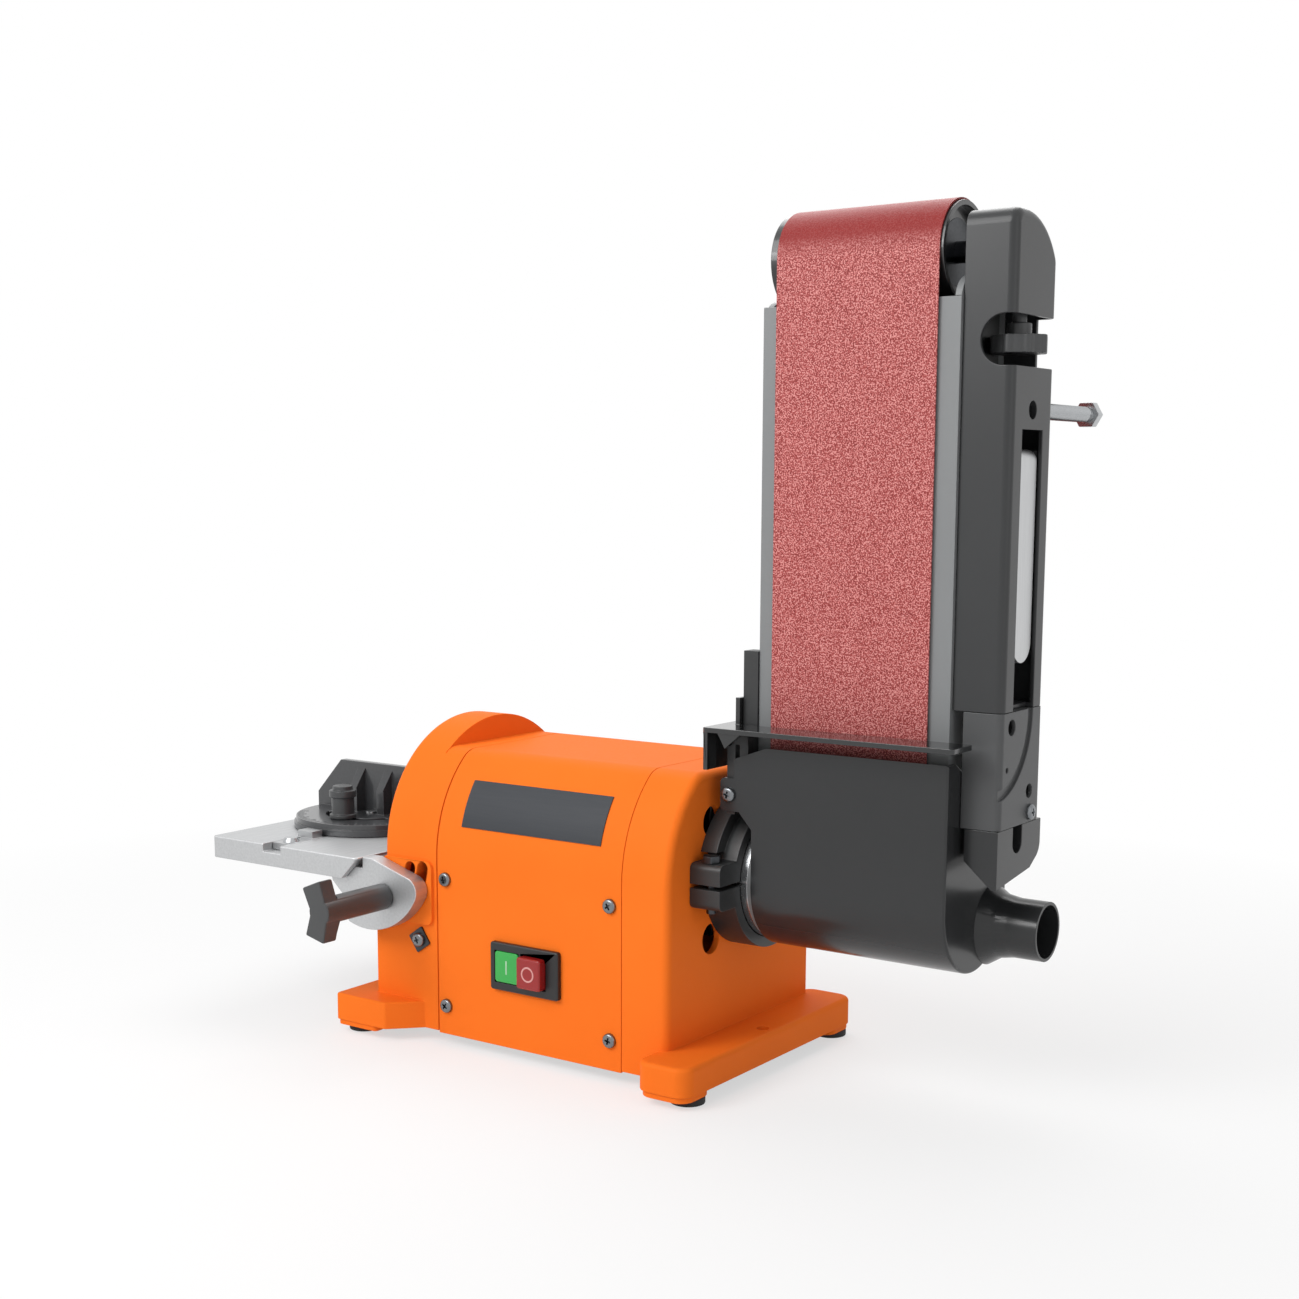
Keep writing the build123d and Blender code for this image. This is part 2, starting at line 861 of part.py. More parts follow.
# Left casting: base flange, disc guard, cheeks and the wall that carries the bearing
left_lobe_x = flange_left + left_lobe_l
with BuildPart() as left_casting:
    with BuildSketch(Plane.XY.offset(skirt_bottom)):
        add(flange(flange_left, seam_left, left_lobe_x, left_taper_l, left_front_y, left_corner_r))
    extrude(amount=flange_top - skirt_bottom)
    rim_edges = left_casting.faces().sort_by(Axis.Z)[-1].edges()
    fillet(rim_edges.filter_by(lambda e: e.center().X < left_lobe_x), left_corner_r / 2)
    with BuildSketch(Plane.XY.offset(lobe_bottom)):
        with Locations(
            (flange_left + lobe_inset + lobe_l / 2, left_front_y + lobe_inset + lobe_w / 2),
            (flange_left + lobe_inset + lobe_l / 2, back_y - lobe_inset - lobe_w / 2),
        ):
            RectangleRounded(lobe_l, lobe_w, left_corner_r)
    extrude(amount=skirt_bottom - lobe_bottom + lobe_root)
    with BuildSketch(Plane.XY.offset(skirt_bottom)):
        with Locations(((seam_left + flange_left + skirt_t) / 2, 0)):
            Rectangle(seam_left - flange_left - skirt_t, 2 * (plate_half + plate_clear))
    extrude(amount=flange_under - skirt_bottom, mode=Mode.SUBTRACT)
    with BuildSketch(Plane.YZ.offset(guard_face)):
        add(arch(housing_r, None, flange_under))
    extrude(amount=guard_step - guard_face)
    round_edges = left_casting.edges().filter_by(GeomType.CIRCLE)
    guard_edges = round_edges.filter_by(lambda e: e.radius > housing_r - wall)
    fillet(guard_edges.sort_by(Axis.X)[0], rim_round)
    with BuildSketch(Plane.YZ.offset(guard_step)):
        add(arch(housing_r, top_rise, flange_under))
    extrude(amount=seam_left - guard_step)
    with BuildSketch(Plane.YZ.offset(cheek_end)):
        with Locations((0, (flange_under + cheek_top) / 2)):
            Rectangle(2 * housing_r, cheek_top - flange_under)
    extrude(amount=guard_face + rim_round - cheek_end)
    for side in (1, -1):
        with BuildSketch(Plane.XZ.offset(side * (housing_r - wall / 2))):
            with Locations(((boss_left + boss_right) / 2, (boss_bottom + boss_top) / 2)):
                RectangleRounded(boss_right - boss_left, boss_top - boss_bottom, boss_corner_r)
        extrude(amount=side * (boss_t + wall / 2))
    with BuildSketch(Plane.YZ.offset(cheek_end)):
        add(arch(housing_r - wall, None, flange_top))
    extrude(amount=bracket_left - cheek_end, mode=Mode.SUBTRACT)
    with BuildSketch(Plane.YZ.offset(bracket_right)):
        add(arch(housing_r - wall, top_rise - wall, flange_top))
    extrude(amount=seam_left - bracket_right, mode=Mode.SUBTRACT)
    with BuildSketch(Plane.YZ.offset(seam_left - tongue_root)):
        add(arch(tongue_r, tongue_rise, flange_under))
        add(arch(tongue_r - tongue_t, tongue_rise - tongue_t, flange_under), mode=Mode.SUBTRACT)
    extrude(amount=tongue_root + tongue_len)
    with BuildSketch(Plane.YZ.offset(bracket_left)):
        with Locations((0, axis_h)):
            Circle(bearing_boss_r)
    extrude(amount=bearing_left_x + bearing_w - bracket_left)
    with BuildSketch(Plane.YZ.offset(bearing_left_x)):
        with Locations((0, axis_h)):
            Circle(bearing_r)
    extrude(amount=bearing_w, mode=Mode.SUBTRACT)
    with BuildSketch(Plane.YZ.offset(bracket_left)):
        with Locations((0, axis_h)):
            Circle(shaft_hole_r)
    extrude(amount=bearing_w, mode=Mode.SUBTRACT)
    for side in (1, -1):
        with BuildSketch(Plane.XZ.offset(side * (housing_r + boss_t))):
            add(arc_slot(guide_r, 2 * (guide_pin_r + slot_clear), guide_angle - slot_end,
                         guide_angle + tilt_range + slot_end))
        extrude(amount=-side * (boss_t + 2 * wall), mode=Mode.SUBTRACT)
        with BuildSketch(Plane.XZ.offset(side * (housing_r + boss_t))):
            add(arc_slot(lock_r, 2 * (lock_stud_r + slot_clear), lock_angle - slot_end,
                         lock_angle + tilt_range + slot_end))
        extrude(amount=-side * (boss_t + 2 * wall), mode=Mode.SUBTRACT)
        with BuildSketch(Plane.XZ.offset(side * tongue_r)):
            with Locations((cover_screw_x[0], cover_screw_z[0]), (cover_screw_x[0], cover_screw_z[1])):
                Circle(screw_shank_r)
        extrude(amount=-side * 2 * tongue_t, mode=Mode.SUBTRACT)
    with BuildSketch(Plane.XY.offset(flange_under)):
        with Locations((flange_left + bench_inset, bench_hole_y)):
            Circle(bench_boss_r)
    extrude(amount=-bench_boss_l)
    with BuildSketch(Plane.XY.offset(flange_top)):
        with Locations((flange_left + bench_inset, bench_hole_y)):
            Circle(bench_hole_r)
    extrude(amount=-flange_t - bench_boss_l, mode=Mode.SUBTRACT)
    with BuildSketch(Plane.XY.offset(lobe_bottom)):
        with Locations(*foot_spots[:2]):
            Circle(screw_shank_r)
    extrude(amount=foot_screw_grip + lobe_root, mode=Mode.SUBTRACT)
    with BuildSketch(Plane.XZ.offset(housing_r)):
        with Locations((pointer_x, pointer_z)):
            Circle(screw_shank_r)
    extrude(amount=-screw_len, mode=Mode.SUBTRACT)
save(left_casting, "left_casting")

# Right casting: base flange, vented end wall and the second bearing seat
with BuildPart() as right_end:
    with BuildSketch(Plane.YZ.offset(seam_right)):
        add(arch(housing_r, top_rise, flange_under))
    extrude(amount=end_face - seam_right)
    end_edges = right_end.faces().sort_by(Axis.X)[-1].edges()
    fillet(end_edges.filter_by(lambda e: e.center().Z > flange_under + lobe_inset), rim_round)

right_lobe_x = flange_right - right_lobe_l
with BuildPart() as right_casting:
    with BuildSketch(Plane.XY.offset(skirt_bottom)):
        add(flange(flange_right, seam_right, right_lobe_x, 0, right_front_y, right_corner_r))
    extrude(amount=flange_top - skirt_bottom)
    rim_edges = right_casting.faces().sort_by(Axis.Z)[-1].edges()
    fillet(rim_edges.filter_by(lambda e: e.center().X > right_lobe_x - lobe_inset), edge_round)
    with BuildSketch(Plane.XY.offset(lobe_bottom)):
        with Locations(
            (flange_right - lobe_inset - lobe_l / 2, right_front_y + lobe_inset + lobe_w / 2),
            (flange_right - lobe_inset - lobe_l / 2, back_y - lobe_inset - lobe_w / 2),
        ):
            RectangleRounded(lobe_l, lobe_w, right_corner_r - lobe_inset)
    extrude(amount=skirt_bottom - lobe_bottom + lobe_root)
    with BuildSketch(Plane.XY.offset(skirt_bottom)):
        with Locations(((seam_right + flange_right - skirt_t) / 2, 0)):
            Rectangle(flange_right - skirt_t - seam_right, 2 * (plate_half + plate_clear))
    extrude(amount=flange_under - skirt_bottom, mode=Mode.SUBTRACT)
    add(right_end.part)
    with BuildSketch(Plane.YZ.offset(seam_right)):
        add(arch(housing_r - wall, top_rise - wall, flange_top))
    extrude(amount=end_face - end_wall - seam_right, mode=Mode.SUBTRACT)
    with BuildSketch(Plane.YZ.offset(seam_right + tongue_root)):
        add(arch(tongue_r, tongue_rise, flange_under))
        add(arch(tongue_r - tongue_t, tongue_rise - tongue_t, flange_under), mode=Mode.SUBTRACT)
    extrude(amount=-tongue_root - tongue_len)
    with BuildSketch(Plane.YZ.offset(bearing_right_x)):
        with Locations((0, axis_h)):
            Circle(bearing_boss_r)
    extrude(amount=end_face - end_wall - bearing_right_x)
    with BuildSketch(Plane.YZ.offset(bearing_right_x)):
        with Locations((0, axis_h)):
            Circle(bearing_r)
    extrude(amount=bearing_w, mode=Mode.SUBTRACT)
    with BuildSketch(Plane.YZ.offset(end_face)):
        with Locations((0, axis_h)):
            Circle(shaft_hole_r)
            with PolarLocations(vent_circle, 4, start_angle=45):
                Circle(vent_r)
    extrude(amount=bearing_right_x - end_face, mode=Mode.SUBTRACT)
    for side in (1, -1):
        with BuildSketch(Plane.XZ.offset(side * tongue_r)):
            with Locations((cover_screw_x[1], cover_screw_z[0]), (cover_screw_x[1], cover_screw_z[1])):
                Circle(screw_shank_r)
        extrude(amount=-side * 2 * tongue_t, mode=Mode.SUBTRACT)
    with BuildSketch(Plane.XY.offset(flange_under)):
        with Locations((flange_right - bench_inset, bench_hole_y)):
            Circle(bench_boss_r)
    extrude(amount=-bench_boss_l)
    with BuildSketch(Plane.XY.offset(flange_top)):
        with Locations((flange_right - bench_inset, bench_hole_y)):
            Circle(bench_hole_r)
    extrude(amount=-flange_t - bench_boss_l, mode=Mode.SUBTRACT)
    with BuildSketch(Plane.XY.offset(lobe_bottom)):
        with Locations(*foot_spots[2:]):
            Circle(screw_shank_r)
    extrude(amount=foot_screw_grip + lobe_root, mode=Mode.SUBTRACT)
save(right_casting, "right_casting")

# Centre cover wrapped round front, top and back between the two seams
cover_screw_spots = [(x, z) for x in cover_screw_x for z in cover_screw_z]
with BuildPart() as motor_cover:
    with BuildSketch(Plane.YZ.offset(seam_left + left_seam)):
        add(arch(housing_r, top_rise, cover_foot))
        add(arch(housing_r - cover_t, top_rise - cover_t, cover_foot), mode=Mode.SUBTRACT)
    extrude(amount=seam_right - right_seam - seam_left - left_seam)
    with BuildSketch(Plane.XZ.offset(housing_r)):
        with Locations((pair_x, switch_z)):
            Rectangle(switch_w + 2 * cutout_clear, switch_h + 2 * cutout_clear)
    extrude(amount=-2 * cover_t, mode=Mode.SUBTRACT)
    with BuildSketch(Plane.XZ.offset(-housing_r)):
        with Locations((gland_x, gland_z)):
            Circle(gland_r)
    extrude(amount=2 * cover_t, mode=Mode.SUBTRACT)
    for side in (1, -1):
        with BuildSketch(Plane.XZ.offset(side * housing_r)):
            with Locations(*cover_screw_spots):
                Circle(screw_shank_r + screw_clear)
        extrude(amount=-side * 2 * cover_t, mode=Mode.SUBTRACT)
save(motor_cover, "motor_cover")

# Steel base plate that ties the two castings together underneath
with BuildPart() as base_plate:
    with BuildSketch(Plane.XY.offset(flange_under - plate_t)):
        with Locations(((flange_left + flange_right) / 2, 0)):
            RectangleRounded(flange_right - flange_left - 2 * plate_inset, 2 * plate_half, plate_corner_r)
    extrude(amount=plate_t)
save(base_plate, "base_plate")

# Cradle that carries the stator on the base plate
with BuildPart() as motor_cradle:
    with BuildSketch(Plane.YZ.offset(core_left + cradle_inset)):
        with Locations((0, (flange_under + cradle_top) / 2)):
            Rectangle(2 * cradle_half, cradle_top - flange_under)
        with Locations((0, axis_h)):
            Circle(stator_r, mode=Mode.SUBTRACT)
        with Locations((0, (window_low + window_high) / 2)):
            Rectangle(2 * (cradle_half - cradle_post), window_high - window_low, mode=Mode.SUBTRACT)
    extrude(amount=core_l - 2 * cradle_inset)
    with BuildSketch(Plane.XY.offset(flange_under)):
        with Locations((core_mid, 0)):
            Rectangle(core_l - 2 * (cradle_inset + cradle_leg), 2 * cradle_half)
    extrude(amount=cradle_top - flange_under, mode=Mode.SUBTRACT)
save(motor_cradle, "motor_cradle")

# Rubber feet and the screws that hold them
with BuildPart() as rubber_feet:
    with BuildSketch(Plane.XY):
        with Locations(*foot_spots):
            Circle(foot_r)
    extrude(amount=lobe_bottom)
    with BuildSketch(Plane.XY):
        with Locations(*foot_spots):
            Circle(screw_head_r + 2 * screw_clear)
    extrude(amount=foot_recess, mode=Mode.SUBTRACT)
    with BuildSketch(Plane.XY):
        with Locations(*foot_spots):
            Circle(screw_shank_r + screw_clear)
    extrude(amount=lobe_bottom, mode=Mode.SUBTRACT)
save(rubber_feet, "rubber_feet")

with BuildPart() as foot_screws:
    with BuildSketch(Plane.XY.offset(foot_recess)):
        with Locations(*foot_spots):
            Circle(screw_head_r)
    extrude(amount=-screw_head_h)
    with BuildSketch(Plane.XY.offset(foot_recess)):
        with Locations(*foot_spots):
            Circle(screw_shank_r)
    extrude(amount=lobe_bottom - foot_recess + foot_screw_grip)
save(foot_screws, "foot_screws")

# Cover screws at front and back
with BuildPart() as cover_screws:
    for side in (1, -1):
        with BuildSketch(Plane.XZ.offset(side * housing_r)):
            with Locations(*cover_screw_spots):
                Circle(screw_head_r)
        extrude(amount=side * screw_head_h, taper=head_taper)
        with BuildSketch(Plane.XZ.offset(side * housing_r)):
            with Locations(*cover_screw_spots):
                Circle(screw_shank_r)
        extrude(amount=-side * (cover_t + lap_gap + tongue_t))
        with BuildSketch(Plane.XZ.offset(side * (housing_r + screw_head_h))):
            with Locations(*cover_screw_spots):
                Rectangle(cross_l, cross_w)
                Rectangle(cross_w, cross_l)
        extrude(amount=-side * cross_d, mode=Mode.SUBTRACT)
save(cover_screws, "cover_screws")

# Bare label plate bent over the front shoulder of the cover
with BuildPart() as label_plate:
    with BuildSketch(Plane.YZ.offset(seam_left + label_in_left)):
        with BuildLine():
            label_r = housing_r + label_glue
            outer = CenterArc((0, axis_h), label_r + label_t, 180 - label_high, label_high - label_low)
            inner = CenterArc((0, axis_h), label_r, 180 - label_high, label_high - label_low)
            Line(outer @ 0, inner @ 0)
            Line(outer @ 1, inner @ 1)
        make_face()
    extrude(amount=seam_right - label_in_right - seam_left - label_in_left)
save(label_plate, "label_plate")

# Switch: bezel outside, body inside, two buttons that press in
with BuildPart() as switch_bezel:
    with BuildSketch(Plane.XZ.offset(housing_r)):
        with Locations((switch_x, switch_z)):
            RectangleRounded(bezel_w, bezel_h, bezel_corner_r)
    extrude(amount=bezel_t)
    fillet(switch_bezel.faces().sort_by(Axis.Y)[0].edges(), bezel_round)
    with BuildSketch(Plane.XZ.offset(housing_r)):
        with Locations((button_x[0], switch_z), (button_x[1], switch_z)):
            Rectangle(button_w + 2 * button_clear, button_h + 2 * button_clear)
    extrude(amount=bezel_t, mode=Mode.SUBTRACT)
save(switch_bezel, "switch_bezel")

with BuildPart() as switch_body:
    with BuildSketch(Plane.XZ.offset(housing_r)):
        with Locations((pair_x, switch_z)):
            Rectangle(switch_w, switch_h)
    extrude(amount=-switch_depth)
    with BuildSketch(Plane.XZ.offset(housing_r)):
        with Locations((button_x[0], switch_z), (button_x[1], switch_z)):
            Rectangle(button_w + 2 * button_clear, button_h + 2 * button_clear)
    extrude(amount=-button_depth - button_travel - button_clear, mode=Mode.SUBTRACT)
save(switch_body, "switch_body")

with BuildPart() as start_button:
    with BuildSketch(Plane.XZ.offset(housing_r - button_depth)):
        with Locations((button_x[0], switch_z)):
            RectangleRounded(button_w, button_h, button_corner_r)
    extrude(amount=button_depth + bezel_t + start_proud)
    fillet(start_button.faces().sort_by(Axis.Y)[0].edges(), start_round)
save(start_button, "start_button")

with BuildPart() as stop_button:
    with BuildSketch(Plane.XZ.offset(housing_r - button_depth)):
        with Locations((button_x[1], switch_z)):
            RectangleRounded(button_w, button_h, button_corner_r)
    extrude(amount=button_depth + bezel_t + stop_proud)
    fillet(stop_button.faces().sort_by(Axis.Y)[0].edges(), stop_round)
save(stop_button, "stop_button")

# Stator, windings and rotor
with BuildPart() as stator_core:
    with BuildSketch(Plane.YZ.offset(core_left)):
        add(ring(stator_r, stator_bore_r, axis_h))
        with Locations((0, axis_h)):
            with PolarLocations(stator_bore_r + slot_set, slot_count):
                Rectangle(slot_l, slot_w, mode=Mode.SUBTRACT)
    extrude(amount=core_l)
save(stator_core, "stator_core")

with BuildPart() as stator_windings:
    with BuildSketch(Plane.YZ.offset(core_left)):
        add(ring(winding_out_r, winding_in_r, axis_h))
    extrude(amount=-winding_l)
    with BuildSketch(Plane.YZ.offset(core_right)):
        add(ring(winding_out_r, winding_in_r, axis_h))
    extrude(amount=winding_l)
    ends = stator_windings.faces().filter_by(Plane.YZ)
    fillet((ends.sort_by(Axis.X)[0:1] + ends.sort_by(Axis.X)[-1:]).edges(), winding_round)
save(stator_windings, "stator_windings")

with BuildPart() as rotor_core:
    with BuildSketch(Plane.YZ.offset(core_left)):
        add(ring(rotor_r, shaft_r, axis_h))
    extrude(amount=core_l)
save(rotor_core, "rotor_core")

# Two ball bearings, one in each casting
with BuildPart() as motor_bearings:
    for start in (bearing_left_x, bearing_right_x):
        with BuildSketch(Plane.YZ.offset(start)):
            add(ring(bearing_r, journal_r, axis_h))
        extrude(amount=bearing_w)
        with BuildSketch(Plane.YZ.offset(start)):
            add(ring(bearing_r - race_t, journal_r + race_t, axis_h))
        extrude(amount=race_d, mode=Mode.SUBTRACT)
save(motor_bearings, "motor_bearings")

# Shaft from the disc hub through the motor to the drive drum
with BuildPart() as motor_shaft:
    with BuildSketch(Plane.YZ.offset(shaft_left)):
        with Locations((0, axis_h)):
            Circle(journal_r)
    extrude(amount=shaft_end - shaft_left)
    with BuildSketch(Plane.YZ.offset(bearing_left_x + bearing_w)):
        with Locations((0, axis_h)):
            Circle(shaft_r)
    extrude(amount=bearing_right_x - bearing_left_x - bearing_w)
save(motor_shaft, "motor_shaft")

with BuildPart() as cooling_fan:
    with BuildSketch(Plane.YZ.offset(fan_x)):
        add(ring(fan_r, shaft_r, axis_h))
    extrude(amount=fan_plate)
    with BuildSketch(Plane.YZ.offset(fan_x + fan_plate)):
        with Locations((0, axis_h)):
            Circle(shaft_r + fan_hub_t)
            with PolarLocations((fan_r + shaft_r + blade_set) / 2, blade_count):
                Rectangle(fan_r - shaft_r - blade_set, blade_t)
            Circle(shaft_r, mode=Mode.SUBTRACT)
    extrude(amount=fan_l - fan_plate)
save(cooling_fan, "cooling_fan")

# Start capacitor at the back of the housing, lying on the base plate
with BuildPart() as capacitor:
    with BuildSketch(Plane.YZ.offset(core_left - cap_set)):
        with Locations((cap_y, flange_under + cap_r)):
            Circle(cap_r)
    extrude(amount=cap_l)
    fillet(capacitor.edges().filter_by(GeomType.CIRCLE), cap_round)
save(capacitor, "capacitor")

# Gland where the cord would enter at the back
with BuildPart() as cable_gland:
    with BuildSketch(Plane.XZ.offset(-housing_r)):
        with Locations((gland_x, gland_z)):
            RegularPolygon(gland_hex_r, 6)
    extrude(amount=-gland_hex_l)
    with BuildSketch(Plane.XZ.offset(-housing_r - gland_hex_l)):
        with Locations((gland_x, gland_z)):
            Circle(gland_nose_r)
    extrude(amount=-gland_nose_l, taper=gland_taper)
    with BuildSketch(Plane.XZ.offset(-housing_r)):
        with Locations((gland_x, gland_z)):
            Circle(gland_r)
    extrude(amount=gland_tail_l)
    with BuildSketch(Plane.XZ.offset(gland_tail_l - housing_r)):
        with Locations((gland_x, gland_z)):
            Circle(cord_hole_r)
    extrude(amount=-gland_tail_l - gland_hex_l - gland_nose_l, mode=Mode.SUBTRACT)
save(cable_gland, "cable_gland")

# Angle pointer on the left casting with its screw
with BuildPart() as angle_pointer:
    with BuildSketch(Plane.XZ.offset(housing_r)):
        with Locations(Location((pointer_x, pointer_z), pointer_turn)):
            RectangleRounded(pointer_w, pointer_w, pointer_corner_r)
        with Locations((pointer_x, pointer_z)):
            Circle(screw_shank_r + screw_clear, mode=Mode.SUBTRACT)
    extrude(amount=pointer_t)
save(angle_pointer, "angle_pointer")

with BuildPart() as pointer_screw:
    with BuildSketch(Plane.XZ.offset(housing_r + pointer_t)):
        with Locations((pointer_x, pointer_z)):
            Circle(screw_head_r)
    extrude(amount=screw_head_h, taper=head_taper)
    with BuildSketch(Plane.XZ.offset(housing_r + pointer_t)):
        with Locations((pointer_x, pointer_z)):
            Circle(screw_shank_r)
    extrude(amount=-pointer_t - wall)
save(pointer_screw, "pointer_screw")

# Disc plate on the left end of the shaft with its abrasive sheet
with BuildPart() as disc_plate:
    with BuildSketch(Plane.YZ.offset(disc_back)):
        with Locations((0, axis_h)):
            Circle(disc_r - disc_edge)
    extrude(amount=disc_plate_t)
    with BuildSketch(Plane.YZ.offset(disc_back + disc_plate_t)):
        with Locations((0, axis_h)):
            Circle(disc_hub_r)
    extrude(amount=disc_hub_end - disc_back - disc_plate_t)
    with BuildSketch(Plane.YZ.offset(shaft_left)):
        with Locations((0, axis_h)):
            Circle(journal_r)
    extrude(amount=disc_hub_end - shaft_left, mode=Mode.SUBTRACT)
save(disc_plate, "disc_plate")

with BuildPart() as sanding_disc:
    with BuildSketch(Plane.YZ.offset(disc_face)):
        with Locations((0, axis_h)):
            Circle(disc_r)
    extrude(amount=abrasive_t)
save(sanding_disc, "sanding_disc")

# Drive drum on the right end of the shaft, hollowed from both ends
with BuildPart() as drive_drum:
    with BuildSketch(Plane.YZ.offset(drum_left)):
        add(ring(drum_r, journal_r, axis_h))
    extrude(amount=drum_right - drum_left)
    for face, way in ((drum_left, 1), (drum_right, -1)):
        with BuildSketch(Plane.YZ.offset(face)):
            add(ring(drum_r - drum_wall, journal_r + drum_wall, axis_h))
        extrude(amount=way * drum_hollow, mode=Mode.SUBTRACT)
save(drive_drum, "drive_drum")

with BuildPart() as drum_nut:
    with BuildSketch(Plane.YZ.offset(drum_right)):
        with Locations((0, axis_h)):
            RegularPolygon(nut_r, 6)
            Circle(journal_r, mode=Mode.SUBTRACT)
    extrude(amount=nut_l)
save(drum_nut, "drum_nut")

# Clamp collar on the right casting that grips the arm's sleeve, with a thicker lobe at its upper front
clamp_ear_top = axis_h + clamp_ear_rise
clamp_ear_low = axis_h - clamp_ear_drop
with BuildPart() as clamp_collar:
    with BuildSketch(Plane.YZ.offset(end_face)):
        with Locations((0, axis_h)):
            Circle(collar_r)
        with Locations((-clamp_ear_l / 2, (clamp_ear_top + clamp_ear_low) / 2)):
            Rectangle(clamp_ear_l, clamp_ear_top - clamp_ear_low)
        with Locations((0, axis_h)):
            Circle(sleeve_r + pivot_clear, mode=Mode.SUBTRACT)
        with Locations((-clamp_ear_l / 2, axis_h + clamp_slit_rise)):
            Rectangle(clamp_ear_l, clamp_slit, mode=Mode.SUBTRACT)
    extrude(amount=collar_l)
    with BuildSketch(Plane.YZ.offset(end_face)):
        with Locations((0, axis_h)):
            Circle(collar_lobe_r)
        with Locations((-collar_lobe_r / 2, collar_lobe_low + collar_lobe_r / 2)):
            Rectangle(collar_lobe_r, collar_lobe_r, mode=Mode.INTERSECT)
        with Locations((0, axis_h)):
            Circle(sleeve_r + pivot_clear, mode=Mode.SUBTRACT)
    extrude(amount=collar_lobe_l)
    long_edges = clamp_collar.edges().filter_by(Axis.X)
    ear_edges = long_edges.filter_by(lambda e: e.center().Y < clamp_ear_round - clamp_ear_l)
    fillet(ear_edges.group_by(Axis.Z)[0] + ear_edges.group_by(Axis.Z)[-1], clamp_ear_round)
    with BuildSketch(Plane.XY.offset(clamp_ear_low)):
        with Locations((clamp_x, clamp_y)):
            Circle(clamp_r + screw_clear)
    extrude(amount=clamp_ear_top - clamp_ear_low, mode=Mode.SUBTRACT)
save(clamp_collar, "clamp_collar")

with BuildPart() as clamp_bolt:
    with BuildSketch(Plane.XY.offset(clamp_ear_top)):
        with Locations((clamp_x, clamp_y)):
            RegularPolygon(clamp_hex_r, 6)
    extrude(amount=clamp_hex_l)
    with BuildSketch(Plane.XY.offset(clamp_ear_top)):
        with Locations((clamp_x, clamp_y)):
            Circle(clamp_r)
    extrude(amount=clamp_ear_low - clamp_ear_top - clamp_over)
save(clamp_bolt, "clamp_bolt")

# Pivot sleeve that turns in the collar and carries the arm
with BuildPart() as pivot_sleeve:
    with BuildSketch(Plane.YZ.offset(end_face + pivot_clear)):
        add(ring(sleeve_r, sleeve_in_r, axis_h))
    extrude(amount=frame_left - end_face - pivot_clear)
save(pivot_sleeve, "pivot_sleeve")

# Arm frame inside the belt loop: left plate round the shaft, platen web, deeper right flange and ribs
with BuildPart() as arm_frame:
    with BuildSketch(Plane.YZ.offset(frame_left)):
        with Locations((0, axis_h)):
            Circle(hood_r - hood_t - frame_fit)
        with Locations((frame_mid_y, (axis_h + frame_top_left) / 2)):
            Rectangle(frame_d, frame_top_left - axis_h)
        with Locations((0, axis_h)):
            Circle(frame_hole_r, mode=Mode.SUBTRACT)
    extrude(amount=frame_t)
    with BuildSketch(Plane.YZ.offset(frame_right)):
        with Locations((frame_mid_y + frame_over / 2, (frame_foot + frame_top_right) / 2)):
            Rectangle(frame_d + frame_over, frame_top_right - frame_foot)
    extrude(amount=-frame_t)
    top_edges = arm_frame.edges().filter_by(Axis.X).filter_by(lambda e: e.center().Z > platen_top)
    fillet(top_edges, frame_round)
    with BuildSketch(Plane.XZ.offset(-frame_front - frame_t)):
        with Locations(((frame_left + frame_right) / 2, (frame_foot + platen_top) / 2)):
            Rectangle(frame_right - frame_left, platen_top - frame_foot)
    extrude(amount=frame_t)
    for rib in range(rib_count):
        with BuildSketch(Plane.XY.offset(frame_foot + rib_low + rib * rib_pitch)):
            with Locations(((frame_left + frame_right) / 2, frame_mid_y)):
                Rectangle(frame_right - frame_left, frame_d)
        extrude(amount=frame_t)
    with BuildSketch(Plane.YZ.offset(frame_right)):
        with Locations((post_y, post_z)):
            Circle(screw_shank_r)
    extrude(amount=-frame_t, mode=Mode.SUBTRACT)
save(arm_frame, "arm_frame")

# Platen pad between the frame and the belt
pad_bottom = frame_foot + pad_low
pad_top = platen_top - pad_high
with BuildPart() as platen_pad:
    with BuildSketch(Plane.XZ.offset(-frame_front)):
        with Locations(((belt_left + belt_right) / 2, (pad_bottom + pad_top) / 2)):
            Rectangle(belt_w - 2 * pad_inset, pad_top - pad_bottom)
    extrude(amount=pad_t)
save(platen_pad, "platen_pad")

# Abrasive belt round the drum and the idler
with BuildPart() as sanding_belt:
    with BuildSketch(Plane.YZ.offset(belt_left)):
        with Locations((0, (axis_h + idler_z) / 2)):
            SlotCenterToCenter(belt_centres, 2 * (belt_in + belt_t), rotation=90)
            SlotCenterToCenter(belt_centres, 2 * belt_in, rotation=90, mode=Mode.SUBTRACT)
    extrude(amount=belt_w)
save(sanding_belt, "sanding_belt")

